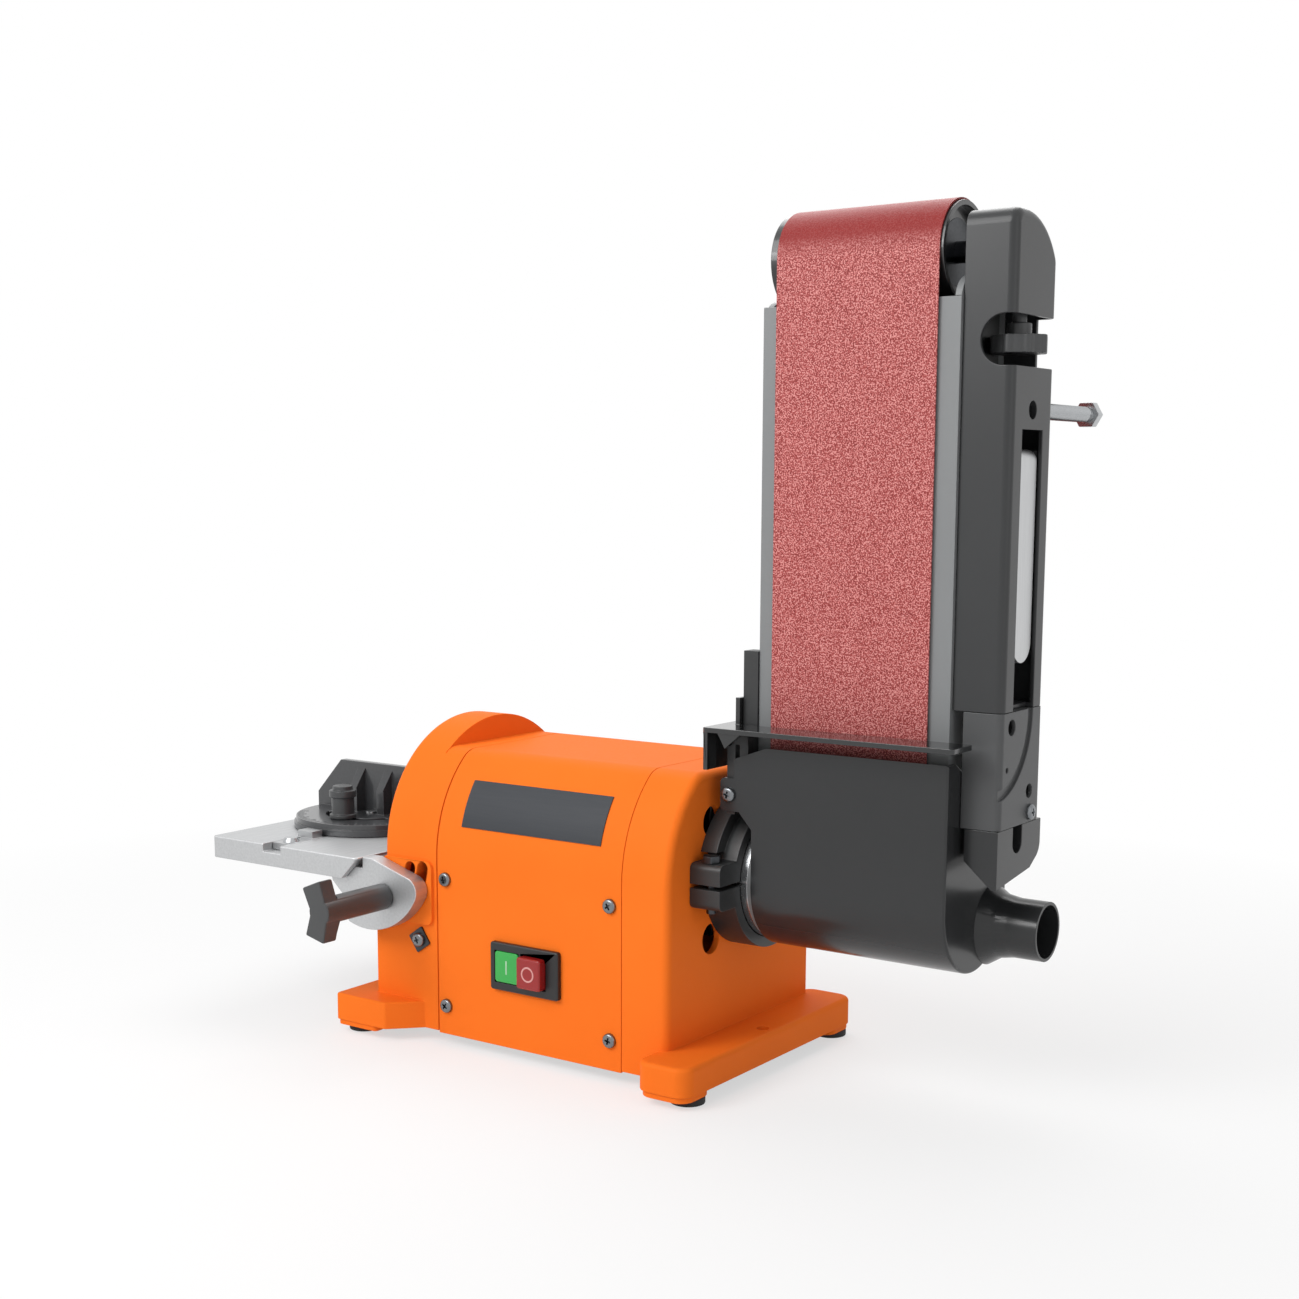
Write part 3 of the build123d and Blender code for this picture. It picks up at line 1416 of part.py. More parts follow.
# Hood round the drum, open above, cut back at its lower left where the collar is and sloped at its top left
with BuildSketch() as hood_outline:
    with BuildLine():
        Polyline((hood_r, axis_h), (hood_r, hood_back_top), (hood_lip - hood_r, hood_front_top),
                 (-hood_r, hood_front_top), (-hood_r, axis_h))
        ThreePointArc((-hood_r, axis_h), (0, axis_h - hood_r), (hood_r, axis_h))
    make_face()
relief_high = axis_h + relief_rise
relief_low = relief_high - relief_slope
with BuildPart() as drum_hood:
    with BuildSketch(Plane.YZ.offset(hood_left)):
        add(hood_outline.sketch)
    extrude(amount=hood_right - hood_left)
    fillet(drum_hood.faces().sort_by(Axis.X)[-1].edges(), hood_round)
    with BuildSketch(Plane.YZ.offset(hood_left + hood_t)):
        with Locations((0, axis_h)):
            Circle(hood_r - hood_t)
        with Locations((0, axis_h + hood_front_rise)):
            Rectangle(2 * (hood_r - hood_t), 2 * hood_front_rise)
    extrude(amount=hood_right - hood_left - 2 * hood_t, mode=Mode.SUBTRACT)
    with BuildSketch(Plane.XZ.offset(-hood_r)):
        with BuildLine():
            Polyline((hood_left, axis_h - hood_r), (relief_x, axis_h - hood_r), (relief_x, relief_low),
                     (hood_left, relief_high), close=True)
        make_face()
    extrude(amount=2 * hood_r, mode=Mode.SUBTRACT)
    with BuildSketch(Plane.XZ.offset(-hood_r)):
        with BuildLine():
            Polyline((hood_left, hood_front_top), (hood_left, hood_front_top - hood_cut_h),
                     (hood_left + hood_cut_l, hood_front_top), close=True)
        make_face()
    extrude(amount=2 * hood_r, mode=Mode.SUBTRACT)
    with BuildSketch(Plane.YZ.offset(relief_x)):
        add(hood_outline.sketch)
        with Locations((0, relief_low + hood_front_rise)):
            Rectangle(4 * hood_r, 2 * hood_front_rise, mode=Mode.SUBTRACT)
        with Locations((0, axis_h)):
            Circle(frame_hole_r, mode=Mode.SUBTRACT)
    extrude(amount=hood_t)
    with BuildSketch(Plane.XZ.offset(hood_r - hood_t)):
        with Locations((hood_left - hood_tab_set, hood_screw_z)):
            RectangleRounded(hood_tab_w, hood_tab_h, hood_tab_round)
    extrude(amount=hood_t)
    with BuildSketch(Plane.XZ.offset(hood_r)):
        with Locations((hood_screw_x, hood_screw_z)):
            Circle(screw_shank_r + screw_clear)
    extrude(amount=-hood_t, mode=Mode.SUBTRACT)
    with BuildSketch(Plane.YZ.offset(hood_right - hood_t)):
        with Locations((port_y, port_z)):
            Circle(port_pad_r)
    extrude(amount=hood_t)
    with BuildSketch(Plane.YZ.offset(hood_right - hood_t)):
        with Locations((port_y, port_z)):
            Circle(port_hole_r)
    extrude(amount=hood_t, mode=Mode.SUBTRACT)
save(drum_hood, "drum_hood")

# Dust port on the hood's right end
with BuildPart() as dust_port:
    with BuildSketch(Plane.YZ.offset(hood_right)):
        with Locations((port_y, port_z)):
            Circle(port_pad_r)
    with BuildSketch(Plane.YZ.offset(hood_right + port_flare)):
        with Locations((port_y, port_z)):
            Circle(port_root_r)
    loft()
    with BuildSketch(Plane.YZ.offset(hood_right + port_flare)):
        with Locations((port_y, port_z)):
            Circle(port_root_r)
    with BuildSketch(Plane.YZ.offset(port_end - port_cuff)):
        with Locations((port_y, port_z)):
            Circle(port_mouth_r)
    loft()
    with BuildSketch(Plane.YZ.offset(port_end - port_cuff)):
        with Locations((port_y, port_z)):
            Circle(port_mouth_r)
    extrude(amount=port_cuff)
    with BuildSketch(Plane.YZ.offset(port_end)):
        with Locations((port_y, port_z)):
            Circle(port_mouth_r - hood_t)
    extrude(amount=hood_right + port_floor - port_end, mode=Mode.SUBTRACT)
    with BuildSketch(Plane.YZ.offset(hood_right)):
        with Locations((port_y, port_z)):
            Circle(port_hole_r)
    extrude(amount=2 * port_floor, mode=Mode.SUBTRACT)
save(dust_port, "dust_port")

# Bracket below the side covers, fixed to the hood's right end
chin_front_y = cover_front - chin_front
chin_back_y = cover_back + chin_back
with BuildPart() as side_bracket:
    with BuildSketch(Plane.XZ.offset(-chin_front_y)):
        with BuildLine():
            Polyline(
                (chin_left, lower_bottom),
                (chin_left, chin_low + chin_slope_h),
                (chin_right - chin_edge, chin_low),
                (chin_right, chin_low),
                (chin_right, lower_bottom),
                close=True,
            )
        make_face()
    extrude(amount=chin_front_y - chin_back_y)
    with BuildSketch(Plane.YZ.offset(chin_left)) as chin_side:
        with BuildLine():
            Polyline((chin_front_y, lower_bottom), (chin_front_y, chin_low),
                     (chin_back_y - chin_knee_l, lower_bottom - chin_knee_h),
                     (chin_back_y, lower_bottom - chin_tail_h), (chin_back_y, lower_bottom), close=True)
        make_face()
        tail = chin_side.vertices().group_by(Axis.X)[-1].sort_by(Axis.Y)[0]
        fillet(tail, chin_round)
    extrude(amount=chin_right - chin_left, mode=Mode.INTERSECT)
    with BuildSketch(Plane.YZ.offset(hood_right)):
        with Locations((lug_y, lower_bottom - lug_drop)):
            Rectangle(lug_w, lug_h)
    extrude(amount=chin_left - hood_right)
    with BuildSketch(Plane.YZ.offset(chin_left)):
        with Locations((chin_tongue_y, lower_bottom + chin_tongue_rise)):
            Rectangle(chin_tongue_w, chin_tongue_h)
    extrude(amount=cover_outer_x - side_wall - rim_gap - chin_left)
    with BuildSketch(Plane.YZ.offset(cover_outer_x)):
        with Locations((lower_screw_y, lower_screw_z)):
            Circle(screw_shank_r)
    extrude(amount=-chin_screw_d, mode=Mode.SUBTRACT)
    with BuildSketch(Plane.YZ.offset(hood_right)):
        with Locations((chin_slot_y, lower_bottom - chin_slot_drop)):
            SlotOverall(chin_slot_l, chin_slot_w, rotation=90)
    extrude(amount=cover_outer_x - hood_right, mode=Mode.SUBTRACT)
save(side_bracket, "side_bracket")

# Upper side cover: open towards the frame, notched for the tracking knob, slotted for the lever
with BuildSketch() as side_outline:
    with BuildLine():
        crown = CenterArc((crown_y, side_top - crown_r), crown_r, crown_end, 90 - crown_end)
        Polyline(
            crown @ 0,
            (cover_back, side_seam),
            (cover_front, side_seam),
            (cover_front, side_top),
            crown @ 1,
        )
    make_face()
    fillet(side_outline.vertices().group_by(Axis.Y)[-1].sort_by(Axis.X)[0], crown_front_r)
    high_corners = side_outline.vertices().filter_by(lambda v: v.Y > side_seam + side_wall)
    fillet(high_corners.group_by(Axis.X)[-1], crown_back_r)
with BuildSketch() as side_inside:
    offset(side_outline.sketch, amount=-side_wall)
notch_mid = (notch_low + notch_high) / 2
with BuildPart() as side_cover:
    with BuildSketch(Plane.YZ.offset(side_rim)):
        add(side_outline.sketch)
    extrude(amount=side_l)
    outer_edges = side_cover.faces().sort_by(Axis.X)[-1].edges()
    fillet(outer_edges.filter_by(lambda e: e.center().Z > side_seam + side_wall), side_round)
    with BuildSketch(Plane.YZ.offset(side_rim)):
        add(side_inside.sketch)
    extrude(amount=side_l - side_wall, mode=Mode.SUBTRACT)
    with BuildSketch(Plane.XZ.offset(side_wall - cover_back)):
        with Locations((notch_x + side_l, notch_mid)):
            SlotOverall(2 * side_l, notch_h)
    extrude(amount=cover_back - side_wall - cover_front, mode=Mode.SUBTRACT)
    with BuildSketch(Plane.XZ.offset(-cover_back)):
        with Locations((cover_outer_x, notch_mid)):
            Rectangle(2 * notch_back, notch_h)
    extrude(amount=side_wall, mode=Mode.SUBTRACT)
    with BuildSketch(Plane.YZ.offset(side_rim)):
        with Locations((post_y, post_z)):
            Circle(post_r)
    extrude(amount=side_l - post_sink)
    with BuildSketch(Plane.YZ.offset(cover_outer_x)):
        with Locations((post_y, post_z)):
            Circle(post_hole_r)
    extrude(amount=post_seat_x - cover_outer_x, mode=Mode.SUBTRACT)
    with BuildSketch(Plane.YZ.offset(cover_outer_x)):
        with Locations((post_y, post_z)):
            Circle(screw_shank_r + screw_clear)
    extrude(amount=-side_l, mode=Mode.SUBTRACT)
    with BuildSketch(Plane.YZ.offset(cover_outer_x)):
        with Locations((lever_y, (side_seam + lever_slot_top) / 2)):
            Rectangle(lever_slot_w, lever_slot_top - side_seam)
    extrude(amount=-2 * side_wall, mode=Mode.SUBTRACT)
    with BuildSketch(Plane.XZ.offset(support_boss_sink - cover_back)):
        with Locations((support_x, support_z)):
            Circle(support_boss_r)
    extrude(amount=support_boss_l + support_boss_sink)
    with BuildSketch(Plane.XZ.offset(-cover_back)):
        with Locations((support_x, support_z)):
            Circle(support_r)
    extrude(amount=support_boss_l + 2 * support_boss_sink, mode=Mode.SUBTRACT)
save(side_cover, "side_cover")

# Lower side cover with its holes and arc groove
lower_mid_y = (cover_front + cover_back) / 2
lower_mid_z = (lower_bottom + lower_top) / 2
with BuildPart() as lower_cover:
    with BuildSketch(Plane.YZ.offset(lower_rim)):
        with Locations((lower_mid_y, lower_mid_z)):
            Rectangle(cover_back - cover_front, lower_top - lower_bottom)
    extrude(amount=cover_outer_x - lower_rim)
    fillet(lower_cover.faces().sort_by(Axis.X)[-1].edges().filter_by(Axis.Z), lower_round)
    with BuildSketch(Plane.YZ.offset(lower_rim)):
        with Locations((lower_mid_y, lower_mid_z - side_wall)):
            Rectangle(cover_back - cover_front - 2 * side_wall, lower_top - lower_bottom)
    extrude(amount=cover_outer_x - side_wall - lower_rim, mode=Mode.SUBTRACT)
    with BuildSketch(Plane.YZ.offset(cover_outer_x)):
        with Locations((peep_y, side_seam - peep_drop)):
            Circle(peep_r)
        with Locations((drain_y, lower_bottom + drain_rise)):
            Circle(drain_r)
        with Locations((pin_hole_y, lower_bottom + pin_hole_rise)):
            Circle(pin_hole_r)
        with Locations((lower_screw_y, lower_screw_z)):
            Circle(screw_shank_r + screw_clear)
    extrude(amount=-side_wall, mode=Mode.SUBTRACT)
    with BuildSketch(Plane.YZ.offset(cover_outer_x)):
        with Locations((groove_y, side_seam - groove_drop)):
            Circle(groove_r + groove_w / 2)
            Circle(groove_r - groove_w / 2, mode=Mode.SUBTRACT)
    extrude(amount=-groove_d, mode=Mode.SUBTRACT)
save(lower_cover, "lower_cover")

# Support bolt: the foot that the arm rests on when it is laid back
with BuildPart() as support_bolt:
    with BuildSketch(Plane.XZ.offset(-support_tip)):
        with Locations((support_x, support_z)):
            RegularPolygon(support_hex_r, 6)
    extrude(amount=support_head)
    with BuildSketch(Plane.XZ.offset(-support_tip)):
        with Locations((support_x, support_z)):
            Circle(support_r)
    extrude(amount=support_tip - support_root)
save(support_bolt, "support_bolt")

# Bar that carries the work stop on the frame's left plate: a leg behind the hood's tab, a lip inside the hood
leg_front = hood_t - hood_r
leg_low = stop_top - leg_drop
with BuildPart() as stop_bracket:
    with BuildSketch(Plane.XY.offset(stop_bar_low)):
        with Locations(((stop_bar_left + frame_left) / 2, (stop_bar_front + stop_bar_back) / 2)):
            Rectangle(frame_left - stop_bar_left, stop_bar_back - stop_bar_front)
    extrude(amount=stop_bar_top - stop_bar_low)
    with BuildSketch(Plane.XY.offset(leg_low)):
        with Locations(((leg_left + leg_right) / 2, (leg_front + leg_back) / 2)):
            Rectangle(leg_l, leg_back - leg_front)
    extrude(amount=leg_h)
    with BuildSketch(Plane.XY.offset(stop_bar_low)):
        with Locations(((leg_left + frame_left) / 2, (leg_front + stop_bar_back) / 2)):
            Rectangle(frame_left - leg_left, stop_bar_back - leg_front)
    extrude(amount=foot_plate_t)
    with BuildSketch(Plane.XY.offset(stop_bar_low)):
        with Locations(((lip_left + frame_left) / 2, (leg_front + leg_gap + stop_bar_back) / 2)):
            Rectangle(frame_left - lip_left, stop_bar_back - leg_front - leg_gap)
    extrude(amount=-lip_h)
    with BuildSketch(Plane.YZ.offset(stop_bar_left)):
        with Locations((stop_screw_y, stop_screw_z)):
            Circle(screw_shank_r)
    extrude(amount=frame_left - stop_bar_left, mode=Mode.SUBTRACT)
    with BuildSketch(Plane.XZ.offset(-leg_front)):
        with Locations((hood_screw_x, hood_screw_z)):
            Circle(screw_shank_r)
    extrude(amount=-screw_len, mode=Mode.SUBTRACT)
save(stop_bracket, "stop_bracket")

# Work stop: ledge across the belt, end flange, pressed gusset, and a slotted ear on the bar
end_left_y = stop_front + end_front
gusset_left = stop_left + gusset_set
with BuildPart() as work_stop:
    with BuildSketch(Plane.XY.offset(stop_top - stop_t)):
        with Locations(((stop_left + stop_right) / 2, (stop_front + stop_back) / 2)):
            RectangleRounded(stop_right - stop_left, stop_back - stop_front, stop_corner_r)
        with Locations(((stop_left + stop_bar_left - stop_clear) / 2, -(link_front + link_back) / 2)):
            Rectangle(stop_bar_left - stop_clear - stop_left, link_front - link_back)
    extrude(amount=stop_t)
    with BuildSketch(Plane.YZ.offset(stop_left)):
        with BuildLine():
            Polyline((end_left_y, stop_top), (end_left_y, stop_top - end_h), (-end_knee, stop_top - end_h),
                     (-end_back, stop_top - end_h + end_slope_h), (-end_back, stop_top), close=True)
        make_face()
    extrude(amount=stop_t)
    with BuildSketch(Plane.YZ.offset(ear_left)):
        with Locations(((ear_front + ear_back) / 2, stop_top + (ear_h - stop_t) / 2)):
            Rectangle(ear_back - ear_front, ear_h + stop_t)
        with Locations((stop_screw_y + stop_travel / 2, stop_screw_z)):
            SlotOverall(stop_travel + 2 * (screw_shank_r + screw_clear), 2 * (screw_shank_r + screw_clear),
                        mode=Mode.SUBTRACT)
    extrude(amount=ear_t)
    with BuildSketch(Plane.XZ.offset(-stop_front - gusset_inset)):
        with BuildLine():
            Polyline((gusset_left, stop_top - stop_t), (gusset_left + gusset_l, stop_top - stop_t),
                     (gusset_left + gusset_l / 3, stop_top - stop_t - gusset_h), close=True)
        make_face()
    extrude(amount=-gusset_t)
save(work_stop, "work_stop")

# Screws of the arm: hood, work stop, lower cover and side cover, each on its seat
arm_screw_seats = (
    Plane((hood_screw_x, -hood_r, hood_screw_z), z_dir=(0, -1, 0)),
    Plane((ear_left, stop_screw_y, stop_screw_z), z_dir=(-1, 0, 0)),
    Plane((cover_outer_x, lower_screw_y, lower_screw_z), z_dir=(1, 0, 0)),
    Plane((post_seat_x, post_y, post_z), z_dir=(1, 0, 0)),
)
with BuildPart() as arm_screws:
    for seat in arm_screw_seats:
        with BuildSketch(seat):
            Circle(screw_head_r)
        extrude(amount=screw_head_h, taper=head_taper)
        with BuildSketch(seat):
            Circle(screw_shank_r)
        extrude(amount=-screw_len)
save(arm_screws, "arm_screws")

# Idler carriage that slides up and down beside the frame's right flange
with BuildPart() as idler_carriage:
    with BuildSketch(Plane.YZ.offset(carriage_left)):
        with Locations((0, (carriage_bottom + carriage_top) / 2)):
            RectangleRounded(carriage_w, carriage_top - carriage_bottom, carriage_corner_r)
    extrude(amount=carriage_t)
    with BuildSketch(Plane.YZ.offset(carriage_left)):
        with Locations((0, idler_z)):
            Circle(axle_boss_r)
    extrude(amount=axle_boss_l)
    with BuildSketch(Plane.XY.offset(tab_z)):
        with Locations(((carriage_left + knob_x + tab_over) / 2, knob_y)):
            Rectangle(knob_x + tab_over - carriage_left, tab_w)
    extrude(amount=tab_t)
    with BuildSketch(Plane.XY.offset(carriage_bottom)):
        with Locations(((carriage_left + spring_x + spring_seat) / 2, spring_foot_y)):
            Rectangle(spring_x + spring_seat - carriage_left, spring_foot_w)
    extrude(amount=spring_foot_t)
    with BuildSketch(Plane.YZ.offset(carriage_left)):
        with Locations((0, idler_z)):
            Circle(axle_r)
    extrude(amount=axle_boss_l, mode=Mode.SUBTRACT)
    with BuildSketch(Plane.XY.offset(tab_z)):
        with Locations((knob_x, knob_y)):
            Circle(knob_stud_r + knob_fit)
    extrude(amount=tab_t, mode=Mode.SUBTRACT)
save(idler_carriage, "idler_carriage")

# Axle with a head at its left end
with BuildPart() as idler_axle:
    with BuildSketch(Plane.YZ.offset(idler_left + axle_set)):
        with Locations((0, idler_z)):
            Circle(axle_head_r)
    extrude(amount=axle_head_l)
    with BuildSketch(Plane.YZ.offset(idler_left + axle_set)):
        with Locations((0, idler_z)):
            Circle(axle_r)
    extrude(amount=carriage_left + axle_boss_l - idler_left - axle_set)
save(idler_axle, "idler_axle")

# Idler roller on two bearings
idler_ends = ((idler_left, 1), (idler_right, -1))
with BuildPart() as idler_roller:
    with BuildSketch(Plane.YZ.offset(idler_left)):
        add(ring(drum_r, idler_bore_r, idler_z))
    extrude(amount=idler_right - idler_left)
    for face, way in idler_ends:
        with BuildSketch(Plane.YZ.offset(face)):
            with Locations((0, idler_z)):
                Circle(idler_bearing_r)
        extrude(amount=way * (idler_recess + idler_bearing_w), mode=Mode.SUBTRACT)
        with BuildSketch(Plane.YZ.offset(face)):
            with Locations((0, idler_z)):
                Circle(drum_r - idler_rim)
        extrude(amount=way * idler_recess, mode=Mode.SUBTRACT)
save(idler_roller, "idler_roller")

with BuildPart() as idler_bearings:
    for face, way in idler_ends:
        with BuildSketch(Plane.YZ.offset(face + way * idler_recess)):
            add(ring(idler_bearing_r, axle_r + axle_fit, idler_z))
        extrude(amount=way * idler_bearing_w)
save(idler_bearings, "idler_bearings")

# Bracket, pin and lever that let the belt tension off
backplate_back = lever_y + bracket_half
with BuildPart() as lever_bracket:
    with BuildSketch(Plane.YZ.offset(frame_right)):
        with Locations(((backplate_back - backplate_front) / 2, lever_pivot_z - backplate_lower)):
            Rectangle(backplate_back + backplate_front, backplate_h)
    extrude(amount=backplate_t)
    for side in (1, -1):
        with BuildSketch(Plane.XZ.offset(-lever_y + side * bracket_half)):
            with Locations(((frame_right + lever_pivot_x + cheek_nose) / 2, lever_pivot_z - cheek_lower)):
                Rectangle(lever_pivot_x + cheek_nose - frame_right, cheek_h)
            with Locations((lever_pivot_x, lever_pivot_z)):
                Circle(pin_r, mode=Mode.SUBTRACT)
        extrude(amount=-side * cheek_t)
    with BuildSketch(Plane.XY.offset(lever_pivot_z + shelf_rise)):
        with Locations(((frame_right + spring_x + spring_seat) / 2, spring_y)):
            Rectangle(spring_x + spring_seat - frame_right, shelf_w)
    extrude(amount=shelf_t)
save(lever_bracket, "lever_bracket")

with BuildPart() as lever_pin:
    with BuildSketch(Plane.XZ.offset(-lever_y - bracket_half)):
        with Locations((lever_pivot_x, lever_pivot_z)):
            Circle(pin_r)
    extrude(amount=2 * bracket_half)
save(lever_pin, "lever_pin")

with BuildPart() as tension_lever:
    with BuildSketch(Plane.YZ.offset(lever_face)):
        with Locations((lever_y, (lever_bottom + lever_w / 2 + lever_pivot_z) / 2)):
            Rectangle(lever_w, lever_pivot_z - lever_bottom - lever_w / 2)
        with Locations((lever_y, lever_bottom + lever_w / 2)):
            Circle(lever_w / 2)
    extrude(amount=-lever_t)
    with BuildSketch(Plane.XZ.offset(-lever_y - lever_w / 2)):
        with Locations((lever_pivot_x, lever_pivot_z)):
            Circle(hub_r)
    extrude(amount=lever_w)
    with BuildSketch(Plane.XZ.offset(-lever_y - lever_w / 2)):
        with Locations((lever_pivot_x, lever_pivot_z)):
            Circle(pin_r + pin_fit)
    extrude(amount=lever_w, mode=Mode.SUBTRACT)
save(tension_lever, "tension_lever")

# Spring that pushes the carriage up
with BuildPart() as tension_spring:
    with BuildLine() as coil:
        Helix(
            pitch=spring_rise / spring_turns,
            height=spring_rise,
            radius=spring_r,
            center=(spring_x, spring_y, shelf_top + spring_wire_r + spring_fit),
        )
    with BuildSketch(Plane(coil.line @ 0, z_dir=coil.line % 0)):
        Circle(spring_wire_r)
    sweep(is_frenet=True)
save(tension_spring, "tension_spring")

# Tracking knob under the carriage tab
with BuildPart() as tracking_knob:
    with BuildSketch(Plane.XY.offset(knob_low)):
        with Locations((knob_x, knob_y)):
            Circle(knob_r)
            with PolarLocations(knob_lobe_circle, knob_lobes):
                Circle(knob_lobe_r)
    extrude(amount=knob_h)
    with BuildSketch(Plane.XY.offset(knob_low + knob_h)):
        with Locations((knob_x, knob_y)):
            Circle(knob_neck_r)
    extrude(amount=knob_neck_l)
    with BuildSketch(Plane.XY.offset(knob_low + knob_h)):
        with Locations((knob_x, knob_y)):
            Circle(knob_stud_r)
    extrude(amount=tab_z + knob_stud_over - knob_low - knob_h)
save(tracking_knob, "tracking_knob")

# Tilting table with its mitre slot, hollow underneath on both sides of the slot
hollow_left = table_left + table_skirt
slot_side = mitre_slot_w / 2 + slot_wall
with BuildPart() as table:
    with BuildSketch(Plane.XY.offset(table_bottom)):
        with Locations(((table_left + table_inner) / 2, 0)):
            RectangleRounded(table_l, 2 * table_half, table_corner_r)
    extrude(amount=table_h)
    fillet(table.faces().sort_by(Axis.Z)[-1].edges(), table_round)
    with BuildSketch(Plane.XY.offset(table_bottom)):
        with Locations(((hollow_left + mitre_x - slot_side) / 2, 0)):
            Rectangle(mitre_x - slot_side - hollow_left, 2 * (table_half - table_skirt))
        with Locations(((mitre_x + slot_side + table_inner) / 2, 0)):
            Rectangle(table_inner - mitre_x - slot_side, 2 * (table_half - table_skirt))
    extrude(amount=table_h - table_plate, mode=Mode.SUBTRACT)
    with BuildSketch(Plane.XZ.offset(table_half)):
        with Locations((mitre_x, table_top - mitre_slot_d / 2)):
            Rectangle(mitre_slot_w, mitre_slot_d)
    extrude(amount=-2 * table_half, mode=Mode.SUBTRACT)
    with BuildSketch(Plane.XZ.offset(table_half)):
        with BuildLine():
            Polyline(
                (table_inner, table_top - table_edge),
                (table_inner - table_bevel, table_top - table_edge - table_bevel),
                (table_inner, table_top - table_edge - table_bevel),
                close=True,
            )
        make_face()
    extrude(amount=-2 * table_half, mode=Mode.SUBTRACT)
save(table, "table")

# Trunnion plates under the table, with guide pins in the casting's slots
pin_spot = on_tilt_circle(guide_r, guide_angle)
lock_spot = on_tilt_circle(lock_r, lock_angle)
nose = on_tilt_circle(trunnion_r, nose_angle)
low = on_tilt_circle(trunnion_r, low_angle)
tail = on_tilt_circle(trunnion_r, tail_angle)
with BuildSketch() as trunnion_side:
    with BuildLine():
        Polyline(
            tail,
            (pivot_x - trunnion_hip, table_top - trunnion_hip_drop),
            (pivot_x - trunnion_waist, table_top - trunnion_waist_drop),
            (pivot_x - trunnion_heel, plate_under),
            (table_inner + lap_gap, plate_under),
            (table_inner + lap_gap, table_top),
            (pivot_x + trunnion_toe, table_top),
            nose,
        )
        ThreePointArc(nose, low, tail)
    make_face()
    fillet(trunnion_side.vertices().group_by(Axis.X)[-1], nose_round)
    with Locations(lock_spot):
        Circle(lock_stud_r + lock_fit, mode=Mode.SUBTRACT)
pin_reach = trunnion_in - housing_r - boss_t + pin_depth - trunnion_gap
with BuildPart() as trunnion_front:
    with BuildSketch(Plane.XZ.offset(trunnion_in)):
        add(trunnion_side.sketch)
    extrude(amount=trunnion_t)
    with BuildSketch(Plane.XZ.offset(trunnion_in)):
        with Locations(pin_spot):
            Circle(guide_pin_r)
    extrude(amount=-pin_reach)
save(trunnion_front, "trunnion_front")

with BuildPart() as trunnion_back:
    with BuildSketch(Plane.XZ.offset(-trunnion_in)):
        add(trunnion_side.sketch)
    extrude(amount=-trunnion_t)
    with BuildSketch(Plane.XZ.offset(-trunnion_in)):
        with Locations(pin_spot):
            Circle(guide_pin_r)
    extrude(amount=pin_reach)
save(trunnion_back, "trunnion_back")

stud_reach = trunnion_out - housing_r + wall - trunnion_gap
with BuildPart() as back_trunnion_bolt:
    with BuildSketch(Plane.XZ.offset(-trunnion_out)):
        with Locations(lock_spot):
            RegularPolygon(back_hex_r, 6)
    extrude(amount=-back_hex_l)
    with BuildSketch(Plane.XZ.offset(-trunnion_out)):
        with Locations(lock_spot):
            Circle(lock_stud_r)
    extrude(amount=stud_reach)
save(back_trunnion_bolt, "back_trunnion_bolt")

# Wing knob that locks the tilt: two flat-ended wings on a round shank
with BuildPart() as table_lock_knob:
    with BuildSketch(Plane.XZ.offset(trunnion_out + knob_gap)):
        with Locations(lock_spot):
            Circle(knob_shaft_r)
    extrude(amount=wing_start - trunnion_out - knob_gap)
    with BuildSketch(Plane.XZ.offset(wing_start)):
        with Locations(lock_spot):
            Circle(knob_shaft_r)
        for angle in wing_angles:
            with Locations(Location(lock_spot, angle)):
                Polygon(
                    (0, -wing_root / 2),
                    (wing_l, -wing_tip / 2),
                    (wing_l, wing_tip / 2),
                    (0, wing_root / 2),
                    align=None,
                )
    extrude(amount=wing_t)
    with BuildSketch(Plane.XZ.offset(trunnion_out + knob_gap)):
        with Locations(lock_spot):
            Circle(lock_stud_r)
    extrude(amount=-stud_reach - knob_gap)
save(table_lock_knob, "table_lock_knob")

# Mitre gauge: bar in the slot with its pivot and pointer block
with BuildPart() as mitre_bar:
    with BuildSketch(Plane.XY.offset(bar_bottom)):
        with Locations((mitre_x, (bar_start + bar_end) / 2)):
            Rectangle(bar_w, bar_end - bar_start)
    extrude(amount=bar_top - bar_bottom)
    with BuildSketch(Plane.XY.offset(bar_top)):
        with Locations((mitre_x, head_y)):
            Circle(pivot_r)
    extrude(amount=head_top - bar_top + pivot_over)
    with BuildSketch(Plane.XY.offset(bar_top)):
        with Locations((mitre_x, pointer_block_y)):
            Rectangle(pointer_block_w, pointer_block_l)
    extrude(amount=pointer_block_h)
    with BuildSketch(Plane.XY.offset(bar_top)):
        with Locations((mitre_x, mitre_knob_y), (mitre_x, mitre_screw_y)):
            Circle(stud_hole_r)
    extrude(amount=-stud_hole_d, mode=Mode.SUBTRACT)
save(mitre_bar, "mitre_bar")

